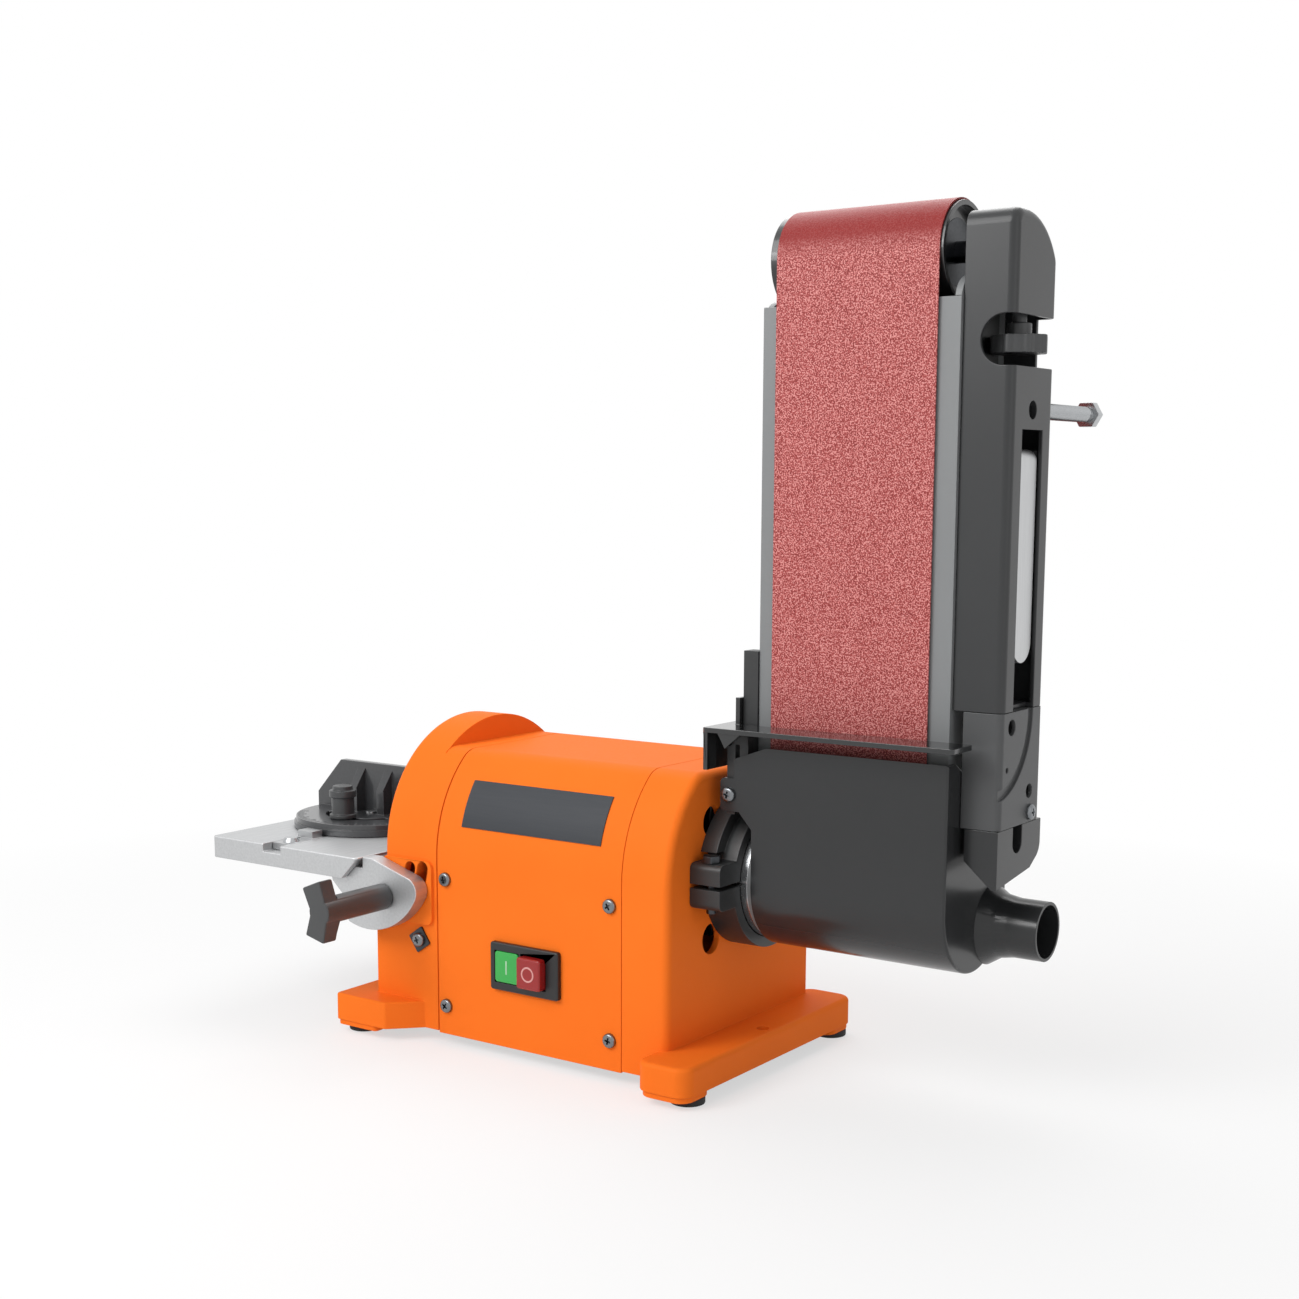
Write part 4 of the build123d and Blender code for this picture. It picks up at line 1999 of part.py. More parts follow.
# Mitre head: stepped half disc with an arc slot, a fence across its back and two braces
fence_y = head_y + head_back
fence_top = head_low + fence_h
with BuildPart() as mitre_head:
    lower_tier = (head_r, head_low, head_t - tier_t)
    upper_tier = (head_r - tier_in, head_top - tier_t, tier_t)
    for radius, base, thick in (lower_tier, upper_tier):
        with BuildSketch(Plane.XY.offset(base)):
            with Locations((mitre_x, head_y)):
                Circle(radius)
            with Locations((mitre_x, fence_y + head_r)):
                Rectangle(3 * head_r, 2 * head_r, mode=Mode.SUBTRACT)
            with Locations((mitre_x, head_y)):
                Circle(pivot_r + pivot_fit, mode=Mode.SUBTRACT)
        extrude(amount=thick)
    with BuildSketch(Plane.XZ.offset(-fence_y)):
        with BuildLine():
            Polyline(
                (mitre_x - fence_half, head_low),
                (mitre_x - fence_half, head_low + fence_side_h),
                (mitre_x - fence_top_half, fence_top),
                (mitre_x + fence_top_half, fence_top),
                (mitre_x + fence_half, head_low + fence_side_h),
                (mitre_x + fence_half, head_low),
                close=True,
            )
        make_face()
    extrude(amount=-fence_t)
    for brace_x in (mitre_x - brace_set, mitre_x + brace_set):
        with BuildSketch(Plane.YZ.offset(brace_x - brace_w / 2)):
            with BuildLine():
                Polyline(
                    (fence_y, fence_top - brace_drop),
                    (fence_y - brace_d, fence_top - brace_drop - brace_slope),
                    (fence_y - brace_d, head_top),
                    (fence_y, head_top),
                    close=True,
                )
            make_face()
        extrude(amount=brace_w)
    with BuildSketch(Plane.XY.offset(head_low)):
        with BuildLine():
            slot_half = mitre_stud_r + mitre_slot_side
            slot_start = 270 - mitre_sweep
            outer_arc = CenterArc((mitre_x, head_y), mitre_knob_set + slot_half, slot_start, 2 * mitre_sweep)
            inner_arc = CenterArc((mitre_x, head_y), mitre_knob_set - slot_half, slot_start, 2 * mitre_sweep)
            Line(outer_arc @ 0, inner_arc @ 0)
            Line(outer_arc @ 1, inner_arc @ 1)
        make_face()
    extrude(amount=head_t, mode=Mode.SUBTRACT)
save(mitre_head, "mitre_head")

# Knob that locks the head, turned in steps on a foot, and the screw near the bar's front end
knob_base = head_top + knob_gap
body_base = knob_base + mitre_foot_l
with BuildPart() as mitre_knob:
    with BuildSketch(Plane.XY.offset(knob_base)):
        with Locations((mitre_x, mitre_knob_y)):
            Circle(mitre_foot_r)
    extrude(amount=mitre_foot_l)
    with BuildSketch(Plane.XY.offset(body_base)):
        with Locations((mitre_x, mitre_knob_y)):
            Circle(mitre_body_r)
    extrude(amount=mitre_body_l)
    with BuildSketch(Plane.XY.offset(body_base + mitre_body_l)):
        with Locations((mitre_x, mitre_knob_y)):
            Circle(mitre_cap_r)
    extrude(amount=mitre_cap_l)
    with BuildSketch(Plane.XY.offset(body_base + mitre_body_l + mitre_cap_l)):
        with Locations((mitre_x, mitre_knob_y)):
            Circle(mitre_top_r)
    extrude(amount=mitre_top_l)
    with BuildSketch(Plane.XY.offset(knob_base)):
        with Locations((mitre_x, mitre_knob_y)):
            Circle(mitre_stud_r)
    extrude(amount=bar_top - stud_len - knob_base)
save(mitre_knob, "mitre_knob")

with BuildPart() as mitre_screw:
    with BuildSketch(Plane.XY.offset(bar_top)):
        with Locations((mitre_x, mitre_screw_y)):
            Circle(mitre_screw_r)
    extrude(amount=mitre_screw_h, taper=mitre_screw_taper)
    with BuildSketch(Plane.XY.offset(bar_top)):
        with Locations((mitre_x, mitre_screw_y)):
            Circle(mitre_stud_r)
    extrude(amount=-stud_len)
save(mitre_screw, "mitre_screw")
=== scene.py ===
# %% [markdown]
# # A belt and disc sander, dressed for the camera
# The CAD model already holds every casting, cover, knob and screw in its true place.
# This lesson loads it as a fixed frame, gives each piece the finish of its real material,
# and models the small details that the solids leave plain, such as the screw heads.

# %% Load the frame
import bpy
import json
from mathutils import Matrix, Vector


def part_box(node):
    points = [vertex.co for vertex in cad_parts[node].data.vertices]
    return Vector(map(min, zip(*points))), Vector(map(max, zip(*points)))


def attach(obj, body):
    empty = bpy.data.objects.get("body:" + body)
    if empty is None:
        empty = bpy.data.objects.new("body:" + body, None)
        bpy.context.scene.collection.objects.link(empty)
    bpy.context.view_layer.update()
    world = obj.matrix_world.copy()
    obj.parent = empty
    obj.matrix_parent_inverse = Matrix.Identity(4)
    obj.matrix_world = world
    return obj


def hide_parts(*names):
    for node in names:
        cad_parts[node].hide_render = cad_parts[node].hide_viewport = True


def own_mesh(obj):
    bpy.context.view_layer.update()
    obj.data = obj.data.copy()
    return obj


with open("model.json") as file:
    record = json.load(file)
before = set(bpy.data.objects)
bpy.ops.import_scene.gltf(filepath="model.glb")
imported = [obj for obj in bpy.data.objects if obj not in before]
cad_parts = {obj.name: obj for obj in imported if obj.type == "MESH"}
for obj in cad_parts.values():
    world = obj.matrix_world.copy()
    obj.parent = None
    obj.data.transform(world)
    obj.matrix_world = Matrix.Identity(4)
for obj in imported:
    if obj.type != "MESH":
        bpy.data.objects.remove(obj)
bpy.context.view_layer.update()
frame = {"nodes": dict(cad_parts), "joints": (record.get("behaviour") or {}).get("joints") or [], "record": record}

# %% [markdown]
# Blender's own modules come next. Sizes on a machine are easiest to read in millimetres,
# while the scene is in metres, so one value turns the first into the second.

# %% Modules and the unit
import json
import math
import bmesh
import bpy
from mathutils import Matrix, Vector

MM = 0.001
print("one millimetre is", MM, "of a scene unit")

# %% [markdown]
# The photograph was taken from the belt's front corner, a little above the table, with a
# short telephoto lens. A camera can be set by eye or solved from known points. It was solved
# here from the corners of the base, the belt and the table, which gives its place, its turn,
# its focal length, and the small shift of a picture that was cropped off centre.

# %% Camera
IMAGE_PX = 1299
FOCAL_PX = 1865.65
CENTRE_PX = (603.66, 767.49)
SENSOR_MM = 36.0
CAMERA_AT = (0.6912, -0.95555, 0.3622)
YAW = math.radians(36.11)
PITCH = math.radians(8.67)
NEAR_CLIP = 0.01
bpy.ops.object.select_all(action="DESELECT")
bpy.ops.object.camera_add(location=CAMERA_AT, rotation=(math.pi / 2 - PITCH, 0, YAW))
camera = bpy.context.object
camera.name = "photo_camera"
camera.data.sensor_width = SENSOR_MM
camera.data.lens = FOCAL_PX / IMAGE_PX * SENSOR_MM
camera.data.shift_x = (IMAGE_PX / 2 - CENTRE_PX[0]) / IMAGE_PX
camera.data.shift_y = (CENTRE_PX[1] - IMAGE_PX / 2) / IMAGE_PX
camera.data.clip_start = NEAR_CLIP
bpy.context.scene.camera = camera
print("lens", round(camera.data.lens, 2), "mm")

# %% [markdown]
# Colours are written as the sRGB hex values that a colour picker shows. Shaders work in
# linear light, so one function turns the one into the other.

# %% Colour helper
TOE_END = 0.04045
TOE_SLOPE = 12.92
CURVE_LIFT = 0.055
CURVE_POWER = 2.4


def linear(hex_code):
    """sRGB hex colour as linear red, green, blue and an alpha of one."""
    channels = []
    for start in (1, 3, 5):
        share = int(hex_code[start:start + 2], 16) / 255
        if share <= TOE_END:
            channels.append(share / TOE_SLOPE)
        else:
            channels.append(((share + CURVE_LIFT) / (1 + CURVE_LIFT)) ** CURVE_POWER)
    return (*channels, 1.0)


print("mid grey in linear light:", round(linear("#808080")[0], 3))

# %% [markdown]
# A material is a small graph. Adding a node, setting its options and wiring its sockets takes
# several lines each time, so one function does the three together. A socket that is given
# another node's output is linked, and any other value is set on the socket itself.

# %% Node helper
def add_node(tree, kind, inputs=None, **settings):
    """Adds a node, sets its options, and sets or links its input sockets."""
    node = tree.nodes.new(kind)
    for option, value in settings.items():
        setattr(node, option, value)
    for socket, value in (inputs or {}).items():
        if isinstance(value, bpy.types.NodeSocket):
            tree.links.new(value, node.inputs[socket])
        else:
            node.inputs[socket].default_value = value
    return node


def new_material(name):
    """An empty material: its graph, its surface shader and its Object coordinates."""
    material = bpy.data.materials.new(name)
    material.use_nodes = True
    tree = material.node_tree
    tree.nodes.clear()
    shader = add_node(tree, "ShaderNodeBsdfPrincipled")
    add_node(tree, "ShaderNodeOutputMaterial", {"Surface": shader.outputs["BSDF"]})
    place = add_node(tree, "ShaderNodeTexCoord").outputs["Object"]
    return material, tree, shader, place


def per_metre(size_mm):
    """Texture scale at which one feature is size_mm across."""
    return 1 / (size_mm * MM)


print("a 1 mm grain needs a texture scale of", round(per_metre(1)))

# %% [markdown]
# Powder coat is a dry paint baked onto the castings and the sheet cover. It flows a little
# before it sets, which leaves a soft orange peel and a satin gloss. The peel could be real
# geometry, but it is a few hundredths of a millimetre deep, so a bump does it. The true
# spacing is about 1 mm, drawn at 2.5 mm so that it can be seen at this distance.

# %% Powder coat
COAT_DRIFT_MM = 60
PEEL_MM = 2.5
PEEL_STRENGTH = 0.12
PEEL_DEPTH = 0.2 * MM
PEEL_GLOSS = (-0.04, 0.06)


def powder_coat(name, body_hex, shade_hex, roughness, specular=0.5):
    """Satin baked paint with orange peel and a faint drift of tone."""
    material, tree, shader, place = new_material(name)
    shader.inputs["Specular IOR Level"].default_value = specular
    drift = add_node(tree, "ShaderNodeTexNoise", {"Vector": place, "Scale": per_metre(COAT_DRIFT_MM),
                                                  "Detail": 3.0})
    tone = add_node(tree, "ShaderNodeMix", {"Factor": drift.outputs["Fac"], "A": linear(body_hex),
                                            "B": linear(shade_hex)}, data_type="RGBA")
    tree.links.new(tone.outputs["Result"], shader.inputs["Base Color"])
    peel = add_node(tree, "ShaderNodeTexNoise", {"Vector": place, "Scale": per_metre(PEEL_MM), "Detail": 2.0})
    gloss = add_node(tree, "ShaderNodeMapRange", {"Value": peel.outputs["Fac"],
                                                  "To Min": roughness + PEEL_GLOSS[0],
                                                  "To Max": roughness + PEEL_GLOSS[1]})
    tree.links.new(gloss.outputs["Result"], shader.inputs["Roughness"])
    bump = add_node(tree, "ShaderNodeBump", {"Height": peel.outputs["Fac"], "Strength": PEEL_STRENGTH,
                                             "Distance": PEEL_DEPTH})
    tree.links.new(bump.outputs["Normal"], shader.inputs["Normal"])
    return material


orange_coat = powder_coat("orange_powder_coat", "#F87A26", "#F27222", 0.50, specular=0.05)
clamp_coat = powder_coat("dark_clamp_coat", "#2E2F30", "#282929", 0.42)
grey_coat = powder_coat("grey_frame_coat", "#818384", "#7A7C7D", 0.45)
print("powder coats:", orange_coat.name, clamp_coat.name, grey_coat.name)

# %% [markdown]
# The hood, the dust port and the side covers are moulded in glass-filled nylon or ABS. The
# steel mould is spark eroded, which leaves an even, fine grain of about 0.3 mm and a satin
# sheen. The grain is drawn at 0.8 mm so that it shows.

# %% Moulded plastic
MOULD_DRIFT_MM = 45
SPARK_DEPTH = 0.1 * MM
SPARK_GLOSS = 0.05


def moulded_plastic(name, body_hex, shade_hex, roughness, grain_mm=0.8, depth=0.10, specular=0.5):
    """Spark-grained moulded plastic with a slight drift of tone."""
    material, tree, shader, place = new_material(name)
    shader.inputs["Specular IOR Level"].default_value = specular
    grain = add_node(tree, "ShaderNodeTexNoise", {"Vector": place, "Scale": per_metre(grain_mm),
                                                  "Detail": 3.0})
    drift = add_node(tree, "ShaderNodeTexNoise", {"Vector": place, "Scale": per_metre(MOULD_DRIFT_MM),
                                                  "Detail": 2.0})
    tone = add_node(tree, "ShaderNodeMix", {"Factor": drift.outputs["Fac"], "A": linear(body_hex),
                                            "B": linear(shade_hex)}, data_type="RGBA")
    tree.links.new(tone.outputs["Result"], shader.inputs["Base Color"])
    gloss = add_node(tree, "ShaderNodeMapRange", {"Value": grain.outputs["Fac"],
                                                  "To Min": roughness - SPARK_GLOSS,
                                                  "To Max": roughness + SPARK_GLOSS})
    tree.links.new(gloss.outputs["Result"], shader.inputs["Roughness"])
    bump = add_node(tree, "ShaderNodeBump", {"Height": grain.outputs["Fac"], "Strength": depth,
                                             "Distance": SPARK_DEPTH})
    tree.links.new(bump.outputs["Normal"], shader.inputs["Normal"])
    return material


hood_plastic = moulded_plastic("dark_grey_moulding", "#2C2D2E", "#272829", 0.22, depth=0.02, specular=0.42)
cover_plastic = moulded_plastic("side_cover_moulding", "#343536", "#2F3031", 0.32, depth=0.02, specular=0.42)
lower_plastic = moulded_plastic("mid_grey_moulding", "#4E4F50", "#48494A", 0.42, depth=0.03, specular=0.42)
knob_plastic = moulded_plastic("black_phenolic", "#434445", "#3B3C3D", 0.38)
bezel_plastic = moulded_plastic("black_switch_moulding", "#1E1F20", "#18191A", 0.38)
green_plastic = moulded_plastic("green_button_abs", "#34AC4C", "#2FA246", 0.25, depth=0.04)
red_plastic = moulded_plastic("red_button_abs", "#98201F", "#8E1B1B", 0.22, depth=0.04)
on_print = moulded_plastic("pale_green_print", "#A9D3AE", "#A0CAA5", 0.45, depth=0.04)
off_print = moulded_plastic("pale_red_print", "#D79C98", "#CE928E", 0.45, depth=0.04)
scale_print = moulded_plastic("worn_scale_paint", "#6C6D6F", "#606163", 0.5, depth=0.04)
print("mouldings made:", hood_plastic.name, cover_plastic.name, lower_plastic.name)

# %% [markdown]
# The belt is cloth with aluminium oxide grit glued to it. Grit of this grade is about 0.3 mm,
# too fine to show from a metre away, so it is drawn at 0.8 mm: worms of tone from dark red to
# pale broken faces, which also stand up as a bump. Where the cloth wraps over the idler, painted
# shade turns it to a darker red towards its top.

# %% Abrasive grit
# Painted shade up the idler: its darker red, its full share, and the part of the radius over which it grows.
IDLER_SHADE_HEX = "#8A1E1C"
IDLER_SHADE_SHARE = 0.9
IDLER_SHADE_RISE = 0.4
TONE_STOPS = (0.38, 0.5, 0.62)
GRIT_MM = 0.8
GRIT_ROUGHNESS = 0.48
GRIT_SPECULAR = 0.25
GRIT_STRENGTH = 0.4
GRIT_DEPTH = 0.5 * MM


def abrasive_grit(name, dark_hex, body_hex, pale_hex, shade_band=None):
    """Resin-bonded grit: worms of tone that stand up as a bump, with painted shade, a darker red, towards the top
    of the idler.
    """
    material, tree, shader, place = new_material(name)
    grit = add_node(tree, "ShaderNodeTexNoise", {"Vector": place, "Scale": per_metre(GRIT_MM), "Detail": 1.0})
    tones = add_node(tree, "ShaderNodeValToRGB", {"Fac": grit.outputs["Fac"]})
    ramp = tones.color_ramp
    ramp.elements[0].color = linear(dark_hex)
    ramp.elements[0].position = TONE_STOPS[0]
    ramp.elements[1].color = linear(pale_hex)
    ramp.elements[1].position = TONE_STOPS[2]
    ramp.elements.new(TONE_STOPS[1]).color = linear(body_hex)
    tone = tones.outputs["Color"]
    if shade_band:
        # Painted shade: from the idler's axis upwards the tone turns to a darker red.
        height = add_node(tree, "ShaderNodeSeparateXYZ", {"Vector": place}).outputs["Z"]
        painted_shade = add_node(tree, "ShaderNodeMapRange", {"Value": height, "From Min": shade_band[0],
                                                       "From Max": shade_band[1], "To Max": IDLER_SHADE_SHARE})
        tone = add_node(tree, "ShaderNodeMix", {"Factor": painted_shade.outputs["Result"], "A": tone,
                                                "B": linear(IDLER_SHADE_HEX)}, data_type="RGBA").outputs["Result"]
    tree.links.new(tone, shader.inputs["Base Color"])
    shader.inputs["Roughness"].default_value = GRIT_ROUGHNESS
    shader.inputs["Specular IOR Level"].default_value = GRIT_SPECULAR
    bump = add_node(tree, "ShaderNodeBump", {"Height": grit.outputs["Fac"], "Strength": GRIT_STRENGTH,
                                             "Distance": GRIT_DEPTH})
    tree.links.new(bump.outputs["Normal"], shader.inputs["Normal"])
    return material


idler_low, idler_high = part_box("idler_roller")
idler_axis = (idler_low.z + idler_high.z) / 2
idler_shade_band = (idler_axis, idler_axis + IDLER_SHADE_RISE * (idler_high.z - idler_axis))
belt_grit = abrasive_grit("red_abrasive_cloth", "#802E2D", "#AE4E4C", "#DA928E", shade_band=idler_shade_band)
disc_grit = abrasive_grit("red_abrasive_paper", "#7C3233", "#A94B49", "#C98883")
print("abrasives:", belt_grit.name, disc_grit.name)

# %% [markdown]
# Bare metals differ by how they were made. The table is cast aluminium, ground flat on top; the
# support bolt is zinc plated; the small screws are passivated, which dulls and darkens them; the
# lever is drawn and brushed steel. They share one graph: noise stretched along the direction of
# the grinding, brushing or turning.

# %% Bare metal
METAL_DEPTH = 0.1 * MM
METAL_GLOSS = (-0.06, 0.08)
EVEN = (1.0, 1.0, 1.0)


def bare_metal(name, body_hex, shade_hex, roughness, stretch, line_mm, depth):
    """Metal whose fine lines run along the axis with the smallest stretch value."""
    material, tree, shader, place = new_material(name)
    shader.inputs["Metallic"].default_value = 1.0
    along = add_node(tree, "ShaderNodeMapping", {"Vector": place, "Scale": stretch})
    lines = add_node(tree, "ShaderNodeTexNoise", {"Vector": along.outputs["Vector"],
                                                  "Scale": per_metre(line_mm), "Detail": 3.0})
    tone = add_node(tree, "ShaderNodeMix", {"Factor": lines.outputs["Fac"], "A": linear(body_hex),
                                            "B": linear(shade_hex)}, data_type="RGBA")
    tree.links.new(tone.outputs["Result"], shader.inputs["Base Color"])
    gloss = add_node(tree, "ShaderNodeMapRange", {"Value": lines.outputs["Fac"],
                                                  "To Min": roughness + METAL_GLOSS[0],
                                                  "To Max": roughness + METAL_GLOSS[1]})
    tree.links.new(gloss.outputs["Result"], shader.inputs["Roughness"])
    bump = add_node(tree, "ShaderNodeBump", {"Height": lines.outputs["Fac"], "Strength": depth,
                                             "Distance": METAL_DEPTH})
    tree.links.new(bump.outputs["Normal"], shader.inputs["Normal"])
    return material


table_metal = bare_metal("ground_cast_aluminium", "#CBCCCD", "#B4B5B6", 0.48, (1.0, 0.06, 1.0), 1.6, 0.10)
zinc_metal = bare_metal("bright_zinc_plate", "#B9BBBD", "#A7A9AB", 0.24, EVEN, 1.5, 0.05)
screw_metal = bare_metal("passivated_screw_steel", "#85888B", "#75787B", 0.28, EVEN, 1.5, 0.05)
dark_metal = bare_metal("blackened_steel", "#4B4D50", "#3E4043", 0.30, EVEN, 1.5, 0.05)
lever_metal = bare_metal("brushed_lever_steel", "#CBCCCD", "#BDBEBF", 0.40, (1.0, 1.0, 0.05), 0.9, 0.08)
turned_metal = bare_metal("turned_aluminium", "#C2C4C6", "#B2B4B6", 0.30, (0.2, 1.0, 1.0), 0.8, 0.06)
bar_metal = bare_metal("drawn_aluminium_bar", "#BFC0C1", "#B0B1B2", 0.34, (1.0, 0.05, 1.0), 0.9, 0.08)
core_metal = bare_metal("laminated_core_steel", "#6C6E72", "#55575A", 0.45, (1.0, 0.05, 0.05), 0.8, 0.20)
copper_metal = bare_metal("varnished_copper_wire", "#A45C33", "#8A4825", 0.35, (1.0, 0.3, 0.3), 1.2, 0.30)
plate_metal = bare_metal("plain_sheet_steel", "#8E9092", "#808284", 0.45, (0.1, 1.0, 1.0), 1.5, 0.06)
print("bare metals made:", table_metal.name, zinc_metal.name, lever_metal.name)

# %% [markdown]
# The work stop is steel under thick black enamel, glossy enough to mirror the belt above it.
# The mitre head has the same enamel over a rougher casting. The idler is a black coated tube.

# %% Black enamel
COAT_WEIGHT = 0.5
COAT_ROUGHNESS = 0.08
CASTING_DEPTH = 0.2 * MM


def enamel(name, body_hex, shade_hex, roughness, casting_mm, depth):
    """Wet-looking enamel over a metal whose casting grain shows through faintly."""
    material, tree, shader, place = new_material(name)
    grain = add_node(tree, "ShaderNodeTexNoise", {"Vector": place, "Scale": per_metre(casting_mm),
                                                  "Detail": 2.0})
    tone = add_node(tree, "ShaderNodeMix", {"Factor": grain.outputs["Fac"], "A": linear(body_hex),
                                            "B": linear(shade_hex)}, data_type="RGBA")
    tree.links.new(tone.outputs["Result"], shader.inputs["Base Color"])
    shader.inputs["Roughness"].default_value = roughness
    shader.inputs["Coat Weight"].default_value = COAT_WEIGHT
    shader.inputs["Coat Roughness"].default_value = COAT_ROUGHNESS
    bump = add_node(tree, "ShaderNodeBump", {"Height": grain.outputs["Fac"], "Strength": depth,
                                             "Distance": CASTING_DEPTH})
    tree.links.new(bump.outputs["Normal"], shader.inputs["Normal"])
    return material


stop_enamel = enamel("gloss_black_enamel", "#1B1C1D", "#151617", 0.16, 6.0, 0.03)
mitre_enamel = enamel("black_casting_enamel", "#3C3D3F", "#323335", 0.34, 2.0, 0.15)
roller_coat = enamel("black_roller_coat", "#141516", "#0F1011", 0.34, 3.0, 0.06)
print("enamels:", stop_enamel.name, mitre_enamel.name, roller_coat.name)

# %% [markdown]
# The feet are moulded rubber, matt and slightly speckled. The platen pad is graphite cloth,
# dark with a dull shine. The label is a thin anodised plate, left bare: it is dark slate with
# a faint horizontal brushing.

# %% Rubber, graphite and the bare label
LABEL_METALLIC = 0.1
foot_rubber = moulded_plastic("black_foot_rubber", "#232323", "#1B1B1B", 0.78, grain_mm=1.0, depth=0.25)
graphite_cloth = moulded_plastic("graphite_cloth", "#2E2F31", "#232426", 0.55, grain_mm=1.2, depth=0.4)
label_metal = bare_metal("slate_anodised_plate", "#22262C", "#1E2228", 0.52, (0.04, 1.0, 1.0), 0.9, 0.05)
label_metal.node_tree.nodes["Principled BSDF"].inputs["Metallic"].default_value = LABEL_METALLIC
print("small finishes:", foot_rubber.name, graphite_cloth.name, label_metal.name)

# %% [markdown]
# Each CAD node now takes its finish. The node keeps its mesh and its place, and only the
# material in its slot changes.

# %% Give every node its finish
finishes = {
    orange_coat: ["left_casting", "right_casting", "motor_cover"],
    plate_metal: ["base_plate", "motor_cradle"],
    foot_rubber: ["rubber_feet"],
    zinc_metal: ["mitre_screw", "support_bolt", "lever_pin", "back_trunnion_bolt", "motor_bearings",
                 "drum_nut", "tension_spring", "pivot_sleeve"],
    screw_metal: ["foot_screws", "cover_screws", "pointer_screw", "arm_screws"],
    dark_metal: ["clamp_bolt", "angle_pointer", "idler_axle", "idler_bearings"],
    label_metal: ["label_plate"],
    bezel_plastic: ["switch_bezel", "switch_body", "cable_gland", "cooling_fan"],
    core_metal: ["stator_core", "rotor_core"],
    copper_metal: ["stator_windings"],
    turned_metal: ["motor_shaft", "disc_plate", "drive_drum", "capacitor"],
    clamp_coat: ["clamp_collar", "stop_bracket", "lever_bracket", "idler_carriage"],
    disc_grit: ["sanding_disc"],
    belt_grit: ["sanding_belt"],
    green_plastic: ["start_button"],
    red_plastic: ["stop_button"],
    grey_coat: ["arm_frame"],
    graphite_cloth: ["platen_pad"],
    hood_plastic: ["drum_hood", "dust_port", "side_bracket"],
    cover_plastic: ["side_cover"],
    lower_plastic: ["lower_cover"],
    stop_enamel: ["work_stop"],
    roller_coat: ["idler_roller"],
    lever_metal: ["tension_lever"],
    knob_plastic: ["tracking_knob", "table_lock_knob", "mitre_knob"],
    table_metal: ["table", "trunnion_front", "trunnion_back"],
    bar_metal: ["mitre_bar"],
    mitre_enamel: ["mitre_head"],
}


def dress(obj, material):
    """Puts one material in every slot of an object, after making a slot where it has none."""
    if not obj.material_slots:
        obj.data.materials.append(material)
    for material_slot in obj.material_slots:
        material_slot.material = material


dressed = 0
for finish, names in finishes.items():
    for name in names:
        dress(frame["nodes"][name], finish)
        dressed += 1
print("dressed", dressed, "of", len(frame["nodes"]), "nodes")

# %% [markdown]
# Everything below is modelled by hand, so a few habits help. An operator acts on whatever is
# selected, so the selection is cleared first. In edit mode, edges and faces are picked by
# where they are. A finished piece keeps its place in its mesh and sits at the origin.

# %% Modelling helpers
SMOOTH = math.radians(35)


def start_clean():
    """Leaves nothing selected, in object mode."""
    if bpy.context.object is not None and bpy.context.object.mode != "OBJECT":
        bpy.ops.object.mode_set(mode="OBJECT")
    bpy.ops.object.select_all(action="DESELECT")


def pick(obj, kind, test):
    """In edit mode, selects only the edges or faces whose vertices all pass the test."""
    bpy.ops.object.mode_set(mode="EDIT")
    bpy.ops.mesh.select_mode(type="EDGE" if kind == "edges" else "FACE")
    bpy.ops.mesh.select_all(action="DESELECT")
    shape = bmesh.from_edit_mesh(obj.data)
    for part in getattr(shape, kind):
        if all(test(vertex.co) for vertex in part.verts):
            part.select_set(True)
    bmesh.update_edit_mesh(obj.data)


def settle(obj):
    """Moves an object's place into its mesh and rounds its shading by angle."""
    start_clean()
    obj.select_set(True)
    bpy.context.view_layer.objects.active = obj
    bpy.ops.object.transform_apply(location=True, rotation=True, scale=True)
    bpy.ops.object.shade_smooth_by_angle(angle=SMOOTH)
    return obj


print("edges under", round(math.degrees(SMOOTH)), "degrees are shaded smooth")

# %% [markdown]
# No casting or moulding has a perfectly sharp edge, and the thin bright line along an edge is
# what makes it read as metal or plastic. The solids are sharp, so most of those that show are
# copied, welded, and their flat triangles joined back into faces. A bevel then rolls the edges
# over, and normals weighted by area keep the large faces flat. The copy stands in for the solid.
# The drum hood and the stop's bracket stay sharp, because a bevel pushes their thin corners out.

# %% Rolled edges
WELD = 0.001 * MM
FLAT = math.radians(0.5)
SHARP = math.radians(38)
ROLL_STEPS = 2
body_of = {node: body for body, nodes in frame["record"]["behaviour"]["bodies"].items() for node in nodes}
edge_mm = {
    "table": 0.8, "trunnion_front": 0.8, "trunnion_back": 0.8, "mitre_bar": 0.4, "mitre_head": 0.6,
    "mitre_knob": 0.8, "table_lock_knob": 1.2, "clamp_collar": 0.6, "tension_lever": 0.7, "side_bracket": 0.6,
    "lower_cover": 0.6, "side_cover": 0.5, "tracking_knob": 0.7, "switch_bezel": 0.4, "start_button": 0.4,
    "stop_button": 0.4, "left_casting": 0.6, "right_casting": 0.6, "motor_cover": 0.4, "rubber_feet": 0.6,
    "clamp_bolt": 0.4, "angle_pointer": 0.3, "pivot_sleeve": 0.5, "support_bolt": 0.4, "arm_frame": 0.4,
    "back_trunnion_bolt": 0.4, "cable_gland": 0.4, "idler_roller": 0.5, "work_stop": 0.3, "dust_port": 0.3,
}


